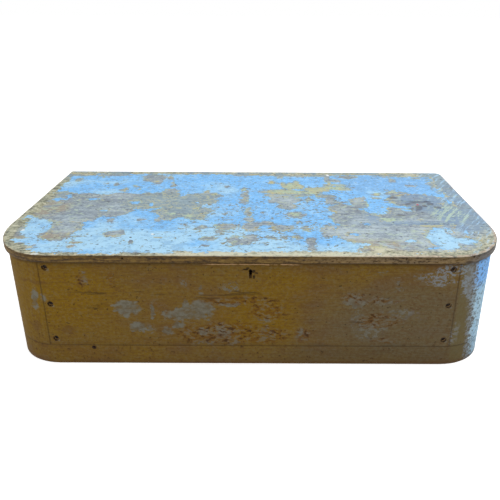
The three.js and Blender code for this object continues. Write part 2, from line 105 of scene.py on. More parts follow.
# Sizes of the chest, from the frame, in millimetres
LID_PARTS = ("front", "middle", "back")
LID_BOXES = [corners(f"lid_board_{part}") for part in LID_PARTS]
LID_LOW = [min(low[axis] for low, high in LID_BOXES) for axis in range(3)]
LID_HIGH = [max(high[axis] for low, high in LID_BOXES) for axis in range(3)]
WALL_RIGHT = corners("right_end_board")[1][0]
WALL_FRONT, INSIDE_FRONT = corners("front_board")[0][1], corners("front_board")[1][1]
WALL_BACK = corners("back_board")[1][1]
SEAM = corners("front_board")[1][0]
BASE_TOP, WALL_TOP = corners("front_board")[0][2], corners("front_board")[1][2]
CORNER_RADIUS = 123
LID_CORNER_LENGTH = 149
LID_CORNER_DEPTH = 192
SIDES = (("left", -1), ("right", 1))


def colour(red, green, blue):
    """A colour written as 0 to 255, as the linear values that Blender takes."""
    def linear(value):
        value /= 255
        return value / 12.92 if value <= 0.04045 else ((value + 0.055) / 1.055) ** 2.4
    return (linear(red), linear(green), linear(blue), 1.0)


# Shader maths
class Level:
    """A number that varies over a surface. Arithmetic on it adds Math nodes."""

    def __init__(self, finish, socket):
        self.finish = finish
        self.socket = socket

    def __add__(self, other):
        return self.finish.math("ADD", self, other)

    __radd__ = __add__

    def __sub__(self, other):
        return self.finish.math("SUBTRACT", self, other)

    def __rsub__(self, other):
        return self.finish.math("SUBTRACT", other, self)

    def __mul__(self, other):
        return self.finish.math("MULTIPLY", self, other)

    __rmul__ = __mul__

    def __truediv__(self, other):
        return self.finish.math("DIVIDE", self, other)

    def __neg__(self):
        return self * -1

    def __abs__(self):
        return self.finish.math("ABSOLUTE", self)

    def above(self, threshold, softness=1.0):
        """0 below the threshold and 1 above it, with a soft step between."""
        made = self.finish.node("ShaderNodeMapRange", {"interpolation_type": "SMOOTHSTEP"}, {
            "Value": self, "From Min": threshold - softness / 2, "From Max": threshold + softness / 2,
        })
        return Level(self.finish, made.outputs["Result"])

    def below(self, threshold, softness=1.0):
        return 1 - self.above(threshold, softness)


def highest(*levels):
    result = levels[0]
    for level in levels[1:]:
        result = result.finish.math("MAXIMUM", result, level)
    return result


def lowest(*levels):
    result = levels[0]
    for level in levels[1:]:
        result = result.finish.math("MINIMUM", result, level)
    return result


class Nodes:
    """The shader nodes of a material or of the world."""

    def __init__(self, owner):
        owner.use_nodes = True
        self.tree = owner.node_tree
        self.tree.nodes.clear()

    def node(self, kind, settings=None, inputs=None):
        """A node of that kind: its settings are set first, then the values or links of its sockets."""
        made = self.tree.nodes.new(kind)
        for name, value in (settings or {}).items():
            if name == "stops":
                ramp = made.color_ramp.elements
                while len(ramp) < len(value):
                    ramp.new(1)
                for stop, (position, shade) in zip(ramp, value):
                    stop.position = position
                    stop.color = shade
            else:
                setattr(made, name, value)
        for name, value in (inputs or {}).items():
            if isinstance(value, Level):
                value = value.socket
            if isinstance(value, bpy.types.NodeSocket):
                self.tree.links.new(value, made.inputs[name])
            else:
                made.inputs[name].default_value = value
        return made

    def math(self, operation, first, second=0.0):
        made = self.node("ShaderNodeMath", {"operation": operation}, {0: first, 1: second})
        return Level(self, made.outputs[0])


class Finish(Nodes):
    """A new material. Places and sizes in it are millimetres.

    Its shade is the colour so far, and its drift is the place with a ragged offset, for outlines of wear.
    """

    def __init__(self, name):
        self.material = bpy.data.materials.new(name)
        super().__init__(self.material)
        raw = self.node("ShaderNodeTexCoord").outputs["Object"]
        self.place = self.vector("SCALE", raw, scale=1 / MM)
        split = self.node("ShaderNodeSeparateXYZ", {}, {"Vector": self.place})
        self.x, self.y, self.z = (Level(self, split.outputs[axis]) for axis in "XYZ")
        self.shade = None
        self.drift = self.place

    def vector(self, operation, first, second=(0.0, 0.0, 0.0), scale=1.0):
        inputs = {0: first, "Scale": scale} if operation == "SCALE" else {0: first, 1: second}
        made = self.node("ShaderNodeVectorMath", {"operation": operation}, inputs)
        return made.outputs["Value" if operation == "LENGTH" else "Vector"]

    def joined(self, first, second, third=0.0):
        made = self.node("ShaderNodeCombineXYZ", {}, {"X": first, "Y": second, "Z": third})
        return made.outputs[0]

    def noise(self, size, place=None, detail=4.0, roughness=0.55):
        """Noise from 0 to 1, with features of that size along X, Y and Z."""
        scaled = self.vector("MULTIPLY", place or self.place, tuple(1 / value for value in size))
        return self.node("ShaderNodeTexNoise", {}, {
            "Vector": scaled, "Scale": 1.0, "Detail": detail, "Roughness": roughness,
        })

    def speckle(self, size, place=None, detail=4.0, roughness=0.55):
        return Level(self, self.noise(size, place, detail, roughness).outputs[0])

    def wander(self, place, reach, size):
        """The place moved by up to about that reach, so that outlines on it turn ragged."""
        drift = self.vector("SUBTRACT", self.noise(size, place, 5.0, 0.6).outputs["Color"], (0.5, 0.5, 0.5))
        return self.vector("ADD", place, self.vector("SCALE", drift, scale=2 * reach))

    def patches(self, ovals, place=None):
        """How far inside the nearest of some ovals a place lies: (x, y, half length, half depth)."""
        insides = []
        for x, y, length, depth in ovals:
            shrunk = self.node("ShaderNodeVectorMath", {"operation": "MULTIPLY_ADD"}, {
                0: place or self.drift, 1: (1 / length, 1 / depth, 0.0), 2: (-x / length, -y / depth, 0.0),
            }).outputs["Vector"]
            reach = float(max(min(length, depth), PATCH_FIRMNESS))
            inside = self.node("ShaderNodeMath", {"operation": "MULTIPLY_ADD"}, {
                0: self.vector("LENGTH", shrunk), 1: -reach, 2: reach,
            })
            insides.append(Level(self, inside.outputs[0]))
        return highest(*insides)

    def nearest(self, places):
        """How far a place lies from the nearest of some points."""
        gaps = [self.vector("SUBTRACT", self.place, place) for place in places]
        return lowest(*[Level(self, self.vector("LENGTH", gap)) for gap in gaps])

    def mix(self, amount, first, second):
        made = self.node("ShaderNodeMix", {"data_type": "RGBA"}, {0: amount, 6: first, 7: second})
        return made.outputs[2]

    def coat(self, amount, shade):
        """Lays a colour over what is there, as thickly as that amount."""
        self.shade = self.mix(amount, self.shade, shade)

    def layered(self, shade, *layers):
        """A colour with others laid over it in turn, each with its amount."""
        for amount, over in layers:
            shade = self.mix(amount, shade, over)
        return shade

    def ramp(self, level, stops):
        made = self.node("ShaderNodeValToRGB", {"stops": stops}, {"Fac": level})
        return made.outputs["Color"]

    def done(self, roughness, height, relief, metallic=0.0, specular=0.3):
        """The shader itself. The relief is what a height of 1 stands for, in millimetres."""
        bump = self.node("ShaderNodeBump", {}, {
            "Strength": 1.0, "Distance": relief * MM, "Height": height,
        })
        shader = self.node("ShaderNodeBsdfPrincipled", {}, {
            "Base Color": self.shade, "Roughness": roughness, "Metallic": metallic,
            "Specular IOR Level": specular, "Normal": bump.outputs["Normal"],
        })
        self.node("ShaderNodeOutputMaterial", {}, {"Surface": shader.outputs[0]})
        return self.material


# Wear, colour and painted light on the lid, set out from above: x, y, half length, half depth
LID_BARE = [
    (-551, -238, 26, 9), (-322, 267, 38, 38), (-310, 232, 17, 26), (-553, 237, 10, 22),
    (-486, 269, 5, 12), (-425, 192, 7, 16), (-457, 202, 6, 8), (-388, 141, 14, 30), (-362, 177, 10, 14),
    (-342, 149, 6, 8), (-255, 214, 8, 20), (-247, 187, 8, 20), (-270, 271, 10, 18), (-557, 62, 60, 60),
    (-468, 33, 80, 72), (-389, 33, 80, 78), (-299, 43, 80, 74), (-247, 102, 30, 56), (-180, 43, 76, 66),
    (-130, 89, 40, 26), (-140, 122, 12, 18), (-557, -27, 60, 76), (-469, -66, 74, 80),
    (-379, -26, 60, 60), (-463, -163, 42, 60), (-472, -222, 36, 34), (-412, -264, 20, 8),
    (-413, -289, 10, 8), (-414, -226, 16, 4), (-335, -210, 27, 25), (-364, -115, 8, 10),
    (-288, -115, 10, 6), (-245, -115, 8, 10), (-191, -44, 76, 52), (-149, -83, 34, 28),
    (-221, -83, 24, 30), (-21, 85, 10, 52), (-25, 47, 11, 20), (-10, -55, 9, 40), (-4, -105, 13, 22),
    (-2, -166, 24, 30), (-62, -162, 32, 24), (-74, -194, 10, 12), (-122, -162, 10, 14),
    (-165, -147, 6, 8), (-102, -238, 18, 12), (-38, -253, 16, 34), (-1, -234, 22, 20),
    (-15, -265, 20, 10), (-106, -279, 7, 4), (-225, -234, 14, 4), (-281, -262, 6, 8), (-84, 177, 9, 9),
    (38, -138, 18, 15), (121, -126, 6, 10), (77, -170, 36, 20), (141, -174, 13, 16), (53, -230, 12, 10),
    (83, -230, 10, 8), (109, -227, 14, 10), (147, -253, 11, 16), (143, -287, 7, 20), (117, -71, 24, 22),
    (98, -2, 26, 26), (90, 55, 44, 36), (98, 97, 70, 26), (158, 56, 8, 26), (201, 87, 24, 16),
    (219, 48, 14, 26), (249, 32, 22, 8), (297, 34, 24, 50), (249, -27, 42, 40), (277, -95, 70, 60),
    (195, -182, 20, 46), (297, -194, 90, 80), (376, -65, 90, 60), (396, -184, 90, 110),
    (336, -293, 80, 44), (466, 54, 90, 60), (426, 113, 30, 22), (516, -64, 100, 90),
    (556, -193, 60, 90), (536, -283, 50, 50), (466, -313, 90, 20), (230, 245, 8, 56),
    (253, 245, 19, 18), (434, 253, 9, 24), (520, 273, 14, 10), (478, 196, 16, 9), (556, 193, 14, 80),
    (275, 194, 7, 12), (305, 283, 30, 22), (79, 280, 10, 18), (-589, -204, 26, 120),
    (-552, -295, 46, 26), (119, 312, 180, 26), (496, 311, 110, 26), (-555, 306, 60, 24),
    (-466, 296, 60, 12),
]
LID_ISLANDS = [
    (-531, 66, 9, 24), (-553, 44, 15, 13), (-458, 49, 18, 9), (-329, 17, 16, 13), (-284, 7, 8, 14),
    (-399, -44, 12, 6), (-212, 94, 8, 10), (-157, 19, 6, 14), (-135, -4, 7, 20), (345, 36, 25, 32),
    (339, -29, 25, 36), (293, -134, 12, 8), (257, -206, 14, 10), (464, -235, 33, 66),
    (510, -249, 30, 24), (532, -187, 8, 20), (380, -249, 12, 6), (276, -267, 10, 5), (424, -31, 10, 8),
]
LID_PRIMER = [
    (55, 221, 10, 22), (85, 209, 12, 14), (118, 182, 36, 38), (130, 221, 10, 18), (94, 128, 74, 22),
    (186, 152, 42, 26), (233, 166, 52, 20), (273, 151, 18, 8), (170, 119, 30, 18), (230, 212, 9, 36),
    (-33, 146, 8, 16), (361, 107, 14, 14), (412, 131, 16, 14), (353, 72, 14, 6), (304, -289, 24, 16),
    (360, -102, 22, 12), (-63, -325, 90, 10), (57, -331, 120, 8), (197, -325, 60, 8),
    (-171, -79, 14, 10), (-151, -28, 10, 12), (-215, -66, 12, 8), (321, 14, 4, 34), (456, -146, 50, 5),
    (-308, 226, 8, 12), (117, -71, 18, 16), (-116, 100, 12, 12), (247, 198, 36, 12),
]
LID_SPECKLED = [(58, -134, 280, 170), (-121, -26, 160, 110), (158, 54, 120, 110), (-440, -250, 60, 40)]
LID_OLIVE = [(-210, 23, 150, 100), (-181, -65, 90, 50), (-566, 170, 40, 140), (148, 152, 150, 80)]
LID_TAN = [
    (-561, -238, 40, 24), (-557, -27, 60, 70), (-480, -234, 60, 40), (-413, -274, 40, 30),
    (296, -283, 90, 50), (456, -144, 70, 14),
]
LID_STAIN = [
    (434, 26, 12, 12), (492, 42, 10, 10), (500, 19, 10, 12), (460, -3, 8, 12), (454, -21, 10, 14),
    (398, -67, 18, 9), (460, 36, 26, 6), (478, 3, 8, 8), (-603, -33, 8, 12), (406, 78, 14, 12),
    (516, -11, 8, 8), (436, -15, 8, 6),
]
LID_CLOUDED = [(466, 5, 70, 50)]
LID_WHITE_SPECKS = [(236, 304, 5, 9), (-563, -190, 4, 6), (-481, -333, 9, 3), (-239, -212, 3, 5)]
LID_STEEL = [
    (516, 54, 110, 120), (327, -55, 34, 90), (436, -130, 170, 24), (556, -64, 70, 160),
    (592, 94, 40, 200),
]
LID_PALE_WOOD = [(356, -194, 170, 110), (436, -243, 160, 80), (98, 54, 90, 60)]
# Painted light: where the blue turns lighter, mostly along the front of the lid
LID_LIT_PALE = [
    (-529, -219, 90, 130), (-331, -244, 260, 90), (476, -233, 60, 90), (-23, -303, 420, 70),
    (-456, 220, 110, 24),
]
LID_DEEPER = [(416, 232, 180, 120)]
LID_CREAM_RIM = [(-20, -326, 190, 30), (180, -330, 200, 22)]
LID_YELLOW_SCRATCHES = [(528, -55, 50, 70)]
LID_RED_SPOT = (462, 17, 3, 6)

# Wear on the front, set out from the front: x, z, half length, half height
FRONT_WORN = [
    (-292, 157, 30, 19), (-268, 105, 17, 14), (-232, 149, 6, 20), (-148, 139, 46, 16),
    (-115, 157, 30, 18), (-152, 165, 8, 18), (-172, 111, 12, 10), (-43, 167, 24, 5), (-202, 91, 14, 12),
    (-112, 93, 12, 10), (-509, 177, 9, 26), (249, 171, 20, 14), (-66, 87, 16, 14),
]
FRONT_THIN = [
    (-67, 91, 34, 24), (-47, 63, 14, 10), (259, 127, 18, 28), (449, 227, 46, 9), (459, 253, 28, 20),
    (342, 231, 12, 8), (352, 213, 10, 7), (307, 249, 14, 8), (-486, 181, 8, 14), (42, 89, 18, 20),
    (127, 83, 18, 18), (37, 125, 16, 10), (327, 175, 40, 10), (297, 103, 44, 16), (-384, 239, 9, 22),
    (357, 141, 50, 16), (287, 83, 30, 12), (502, 257, 22, 20), (509, 225, 14, 18), (528, 149, 10, 34),
    (-45, 215, 22, 14), (-153, 221, 10, 10), (-115, 209, 7, 18), (-252, 99, 26, 14), (247, 179, 30, 20),
    (417, 243, 40, 8), (-112, 59, 30, 8), (498, 89, 10, 30),
]
FRONT_PITTED = [
    (-64, 87, 120, 32), (-23, 177, 110, 12), (41, 149, 50, 22), (37, 83, 60, 26), (307, 123, 62, 20),
    (247, 183, 30, 18), (127, 83, 20, 20), (-387, 231, 14, 20), (-322, 231, 10, 18), (317, 177, 50, 10),
    (327, 69, 30, 8),
]
FRONT_CRACKED = [
    (-33, 189, 120, 18), (-372, 161, 50, 9), (-302, 197, 140, 8), (-102, 59, 90, 8), (297, 123, 70, 14),
]
FRONT_BARE_TOP = (6, 271.5, 106, 1.2)
FRONT_SMUDGED = [(-521, 99, 16, 16), (-440, 97, 22, 14), (-502, 224, 40, 5), (-513, 49, 22, 8)]
FRONT_BRIGHT = [
    (-442, 189, 160, 110), (-561, 159, 70, 130), (17, 129, 110, 120), (77, 229, 90, 50),
    (-461, 35, 110, 18),
]
FRONT_DULL = [(417, 109, 260, 120), (297, 29, 260, 30)]
NAIL_STAIN = (-382, WALL_FRONT + 4.5, 46)
KEYHOLE_CHIPS = [(-9, 259, 6, 1.8), (10, 254, 4, 4), (17, 250, 4, 2), (11, 240, 3, 5), (-3, 262, 4, 2)]

# Paints, primers and woods
LID_BLUE = colour(118, 188, 246)
LID_BLUE_PALE = colour(168, 213, 240)
LID_BLUE_DEEP = colour(116, 176, 230)
LID_BLUE_DULL = colour(116, 164, 208)
LID_BLUE_LIGHT = colour(172, 214, 246)
PRIMER = colour(178, 198, 174)
PRIMER_DARK = colour(150, 168, 158)
PRIMER_WARM = colour(184, 184, 148)
PRIMER_OCHRE = colour(188, 168, 118)
GREY_WOOD = colour(142, 156, 168)
GREY_WOOD_DARK = colour(120, 130, 140)
GREY_WOOD_PALE = colour(178, 194, 202)
OLIVE_WOOD = colour(134, 158, 170)
TAN_WOOD = colour(156, 146, 128)
CHIPPED_WOOD = colour(118, 116, 104)
STEEL_GREY = colour(124, 150, 178)
STEEL_DARK = colour(112, 136, 156)
STEEL_RIM = colour(140, 162, 168)
STAIN = colour(70, 70, 78)
RED_SPOT = colour(200, 74, 84)
WHITE_SPECK = colour(236, 244, 246)
RIM_DARK = colour(98, 96, 78)
RIM_OLIVE = colour(166, 167, 138)
RIM_CREAM = colour(210, 206, 184)
EDGE_BROWN = colour(92, 70, 34)
EDGE_OCHRE = colour(118, 94, 46)
EDGE_PALE = colour(132, 116, 92)
EDGE_SLATE = colour(88, 94, 100)
EDGE_DARK = colour(52, 38, 20)
ARRIS_WOOD = colour(190, 172, 138)
ARRIS_PINK = colour(194, 166, 148)
BARE_STRIP = colour(200, 162, 120)
OCHRE = colour(105, 81, 31)
OCHRE_BROWN = colour(98, 73, 36)
OCHRE_WARM = colour(111, 86, 27)
OCHRE_BRIGHT = colour(113, 85, 6)
OCHRE_DULL = colour(91, 81, 61)
OLD_GREY_BLUE = colour(88, 83, 71)
# The older coat's pale grey-blue, also used for painted highlights beside the screw holes
OLD_GREY_BLUE_PALE_AND_HIGHLIGHT = colour(106, 106, 96)
POST_SPOTS = colour(76, 74, 76)
POST_GREY = colour(120, 128, 134)
FADED_BLUE = colour(154, 190, 214)
FADED_PALE = colour(172, 200, 212)
SKY_BLUE = colour(120, 178, 240)
POST_OLIVE = colour(98, 90, 58)
PIT_ORANGE = colour(94, 61, 20)
PIT_DARK = colour(50, 32, 16)
# Dirt, also used as painted shade below the lid
DIRT_AND_SHADE = colour(46, 34, 20)
MOUTH = colour(40, 26, 24)
SMUDGE = colour(84, 58, 34)
PINE = colour(158, 124, 84)
PINE_DARK = colour(112, 82, 52)
PINE_PALE = colour(184, 152, 110)
IRON = colour(52, 44, 38)
RUST = colour(92, 56, 34)
IRON_WORN = colour(104, 98, 92)
FLOOR_COLOUR = colour(236, 236, 236)
WHITE = (1.0, 1.0, 1.0, 1.0)

# The least half size, in millimetres, that an oval's soft border is worked out with
PATCH_FIRMNESS = 14

# Head radius, head depth, shank radius, length, and depth of the head below the face
Screw = namedtuple("Screw", "head head_depth shank length sink")
WALL_SCREW = Screw(5.4, 3.4, 2.8, 29, 7)
BACK_SCREW = Screw(4.6, 3.0, 2.6, 34, 1)
BATTEN_SCREW = Screw(4.2, 2.8, 2.3, 31, 1)
HINGE_SCREW = Screw(3.4, 1.8, 1.9, 14, 0.1)
LOCK_SCREW = Screw(3.2, 1.6, 1.7, 14, 0.1)
SCREW_PITCH = 2.2
SCREW_SLOT_WIDTH = 1.3
SCREW_SLOT_DEPTH = 1.4
HEAD_EDGE = 0.4
THREAD_SWELL = 1.16
NAIL_HEAD = 3.2
NAIL_SHANK = 1.3
NAIL_LENGTH = 30
WALL_SCREW_FROM_SEAM = 16
HINGE_SCREW_SPACING = 25
HINGE_SCREW_STAGGER = 3
HINGE_GAP = 0.15
LOCK_PLATE_THICKNESS = 2
STAPLE_THICKNESS = 2

# How a mesh is cleaned, eased, worn and split: distances in millimetres and angles in degrees. CHIP_SHARE
# is added to the noise of the chips. ARRIS_TURN is 1 less the cosine of the least turn at an arris
MERGE_DISTANCE = 0.01
FLAT_ANGLE = 1
SHARP_ANGLE = 40
ARRIS_LEAST = 8
IRON_EASE, IRON_ARRIS_LEAST = 0.25, 1.5
SCREW_EASE, SCREW_ARRIS_LEAST = 0.2, 1.0
NAIL_EASE = 0.5
RIPPLE_SIZE = 90
CHIP_SIZE = 7
CHIP_RUN = 30
CHIP_SHARE = 0.1
ARRIS_TURN = 0.03
SPLIT_STEP = 9
SPLIT_RUN = 22
SPLIT_WANDER = 1.6
SPLIT_END = 0.15

# Width of the eased arris, ripple of the faces, and loss along the arrises
LID_WEAR = (0, 0.15, 0.9)
WALL_WEAR = (0.7, 0.2, 0.5)
INNER_WEAR = (0.8, 0.15, 0.4)
INNER_STEP = 24

# Nail holes and dents: place, radius, depth, the way that the face looks, and how far it is drawn out
LID_TOP, LID_FRONT, LID_SIDE = LID_HIGH[2], LID_LOW[1], LID_LOW[0]
UP, DOWN, FORWARD, BACKWARD, LEFT = (0, 0, 1), (0, 0, -1), (0, -1, 0), (0, 1, 0), (-1, 0, 0)
HOLES = {
    "lid_board_front": [
        ((-283, LID_FRONT, 297), 2.4, 6, FORWARD), ((354, LID_FRONT, 299), 2.2, 5, FORWARD),
        ((508, LID_FRONT + 12, 300), 2.4, 5, FORWARD), ((-288, -232, LID_TOP), 3.0, 3, UP),
        ((-196, LID_FRONT, 289), 2.2, 3, FORWARD), ((120, LID_FRONT, 301), 3.6, 2, FORWARD, 3.0),
    ],
    "lid_board_middle": [((LID_SIDE, -26, LID_TOP - 2), 4.5, 4, LEFT, 2.0)],
    "lid_board_back": [
        ((x, y, LID_TOP), 1.9, 2, UP)
        for x, y in ((432, 314), (456, 302), (485, 316), (-433, 313), (-460, 303), (-486, 315))
    ],
    "front_board": [
        ((-6, WALL_FRONT, 259), 1.6, 2, FORWARD, 4.0), ((12, WALL_FRONT, 254), 2.6, 2, FORWARD, 1.6),
        ((10, WALL_FRONT, 241), 1.8, 1.5, FORWARD), ((-351, WALL_FRONT, 160), 2.0, 1.6, FORWARD, 9.0),
    ],
    "base_front_rail": [((-382, WALL_FRONT, 46), 2.8, 5, FORWARD)],
}

# Splits along the grain: ends, place across, height of the face, width and depth
SPLITS = {
    "lid_board_middle": [(377, 515, 45, LID_TOP, 1.8, 5), (431, 508, -133, LID_TOP, 1.6, 4)],
    "lid_board_front": [(-120, -30, -190, LID_TOP, 1.2, 3), (290, 350, -255, LID_TOP, 1.2, 3)],
}
GRAIN_SIZES = {"x": (90, 5, 5), "y": (5, 90, 5), "z": (5, 5, 90)}


def pine(finish, grain):
    """The colour of pine with its grain along an axis, and the noise of its lines and of its pores."""
    broad = finish.speckle(tuple(4 * size for size in GRAIN_SIZES[grain]), detail=3.0)
    lines = finish.speckle(GRAIN_SIZES[grain], detail=5.0, roughness=0.65)
    fine = finish.speckle(tuple(size / 5 for size in GRAIN_SIZES[grain]), detail=3.0, roughness=0.7)
    mixed = broad * 0.35 + lines * 0.45 + fine * 0.2
    return finish.ramp(mixed, [(0.36, PINE_DARK), (0.5, PINE), (0.62, PINE_PALE)]), lines, fine


def bare_wood(grain):
    finish = Finish(f"bare_wood_{grain}")
    finish.shade, lines, fine = pine(finish, grain)
    grime = finish.speckle((140, 140, 140), detail=5.0, roughness=0.65).above(0.54, 0.2)
    finish.coat(grime * 0.45, PINE_DARK)
    return finish.done(0.72 + lines * 0.16, lines * 0.6 + fine * 0.4, 0.5)


# The blotch colour is rust, and painted shade for the sunk screws
def iron(name, rust_share, worn_shade=IRON_WORN, rust_and_shade_colour=RUST):
    finish = Finish(name)
    blotch = finish.speckle((9, 9, 9), detail=6.0, roughness=0.65)
    pits = finish.speckle((1.6, 1.6, 1.6), detail=3.0)
    rust = blotch.above(1 - rust_share, 0.16)
    finish.shade = finish.mix(pits.above(0.6, 0.2) * 0.5, IRON, worn_shade)
    finish.coat(rust, rust_and_shade_colour)
    return finish.done(0.55 + rust * 0.3, pits + blotch * 0.6, 0.25, 0.7 - rust * 0.6)


def lid_edge_distance(finish):
    """How far a place on the lid lies from the front and the ends, round the elliptical corners."""
    half = LID_HIGH[0]
    over_x = highest(abs(finish.x) - (half - LID_CORNER_LENGTH), finish.x * 0) / LID_CORNER_LENGTH
    over_y = highest(-finish.y + (LID_LOW[1] + LID_CORNER_DEPTH), finish.y * 0) / LID_CORNER_DEPTH
    round_part = 1 - Level(finish, finish.vector("LENGTH", finish.joined(over_x, over_y)))
    corner = round_part * ((LID_CORNER_LENGTH + LID_CORNER_DEPTH) / 2)
    return lowest(corner, half - abs(finish.x), finish.y - LID_LOW[1])


def lid_wood(finish, noises, rims, kept):
    """Weathered boards: grey and tan, specked with what is left of the primer, darker towards the rims."""
    fine, flakes, clumps, mottle = noises
    grain = finish.speckle((80, 7, 7), roughness=0.7)
    pale = finish.patches(LID_PALE_WOOD).above(0, 60)
    tone = mottle * 0.27 + clumps * 0.13 + grain * 0.3 + fine * 0.3 + pale * 0.04
    finish.shade = finish.ramp(tone, [(0.42, GREY_WOOD_DARK), (0.5, GREY_WOOD), (0.58, GREY_WOOD_PALE)])
    olive = finish.patches(LID_OLIVE).above(6, 50)
    tan = finish.patches(LID_TAN).above(6, 40) * clumps.above(0.44, 0.14)
    steel = finish.patches(LID_STEEL).above(6, 40)
    fringe = kept.above(-30, 24) * (flakes * 0.4 + fine * 0.6).above(0.52, 0.06)
    finish.coat(olive * 0.6, OLIVE_WOOD)
    finish.coat(fringe * (0.2 + olive * 0.45), PRIMER_WARM)
    finish.coat(tan * 0.8, TAN_WOOD)
    streaked = 0.6 + grain.above(0.42, 0.2) * 0.3
    finish.coat(steel * mottle.above(0.42, 0.2) * streaked, STEEL_GREY)
    specks = (flakes * 0.6 + fine * 0.4 + tan * 0.03).above(0.565, 0.05)
    finish.coat(specks * (0.6 - olive * 0.3), PRIMER)
    finish.coat((clumps * 0.4 + fine * 0.6).below(0.42, 0.05) * 0.6, GREY_WOOD_DARK)

    cream = finish.patches(LID_CREAM_RIM, finish.place).above(4, 20)
    rim_tone = clumps * 0.2 + flakes * 0.38 + fine * 0.42 + cream * 0.08
    rim_shade = finish.ramp(rim_tone, [(0.43, RIM_DARK), (0.5, RIM_OLIVE), (0.59, RIM_CREAM)])
    bluer = highest(
        finish.y.above(LID_HIGH[1] - 90, 60) * clumps.below(0.5, 0.1),
        finish.x.above(LID_HIGH[0] - 70, 40) * finish.y.above(-160, 80),
    )
    steely = finish.mix(flakes.above(0.5, 0.12), STEEL_RIM, STEEL_DARK)
    rim_shade = finish.mix(bluer * 0.9, rim_shade, steely)
    at_rim = (rims + 10 + (clumps - 0.5) * 60).above(0, 14) * (1 - steel * 0.8)
    finish.coat(highest(at_rim, cream) * 0.85, rim_shade)


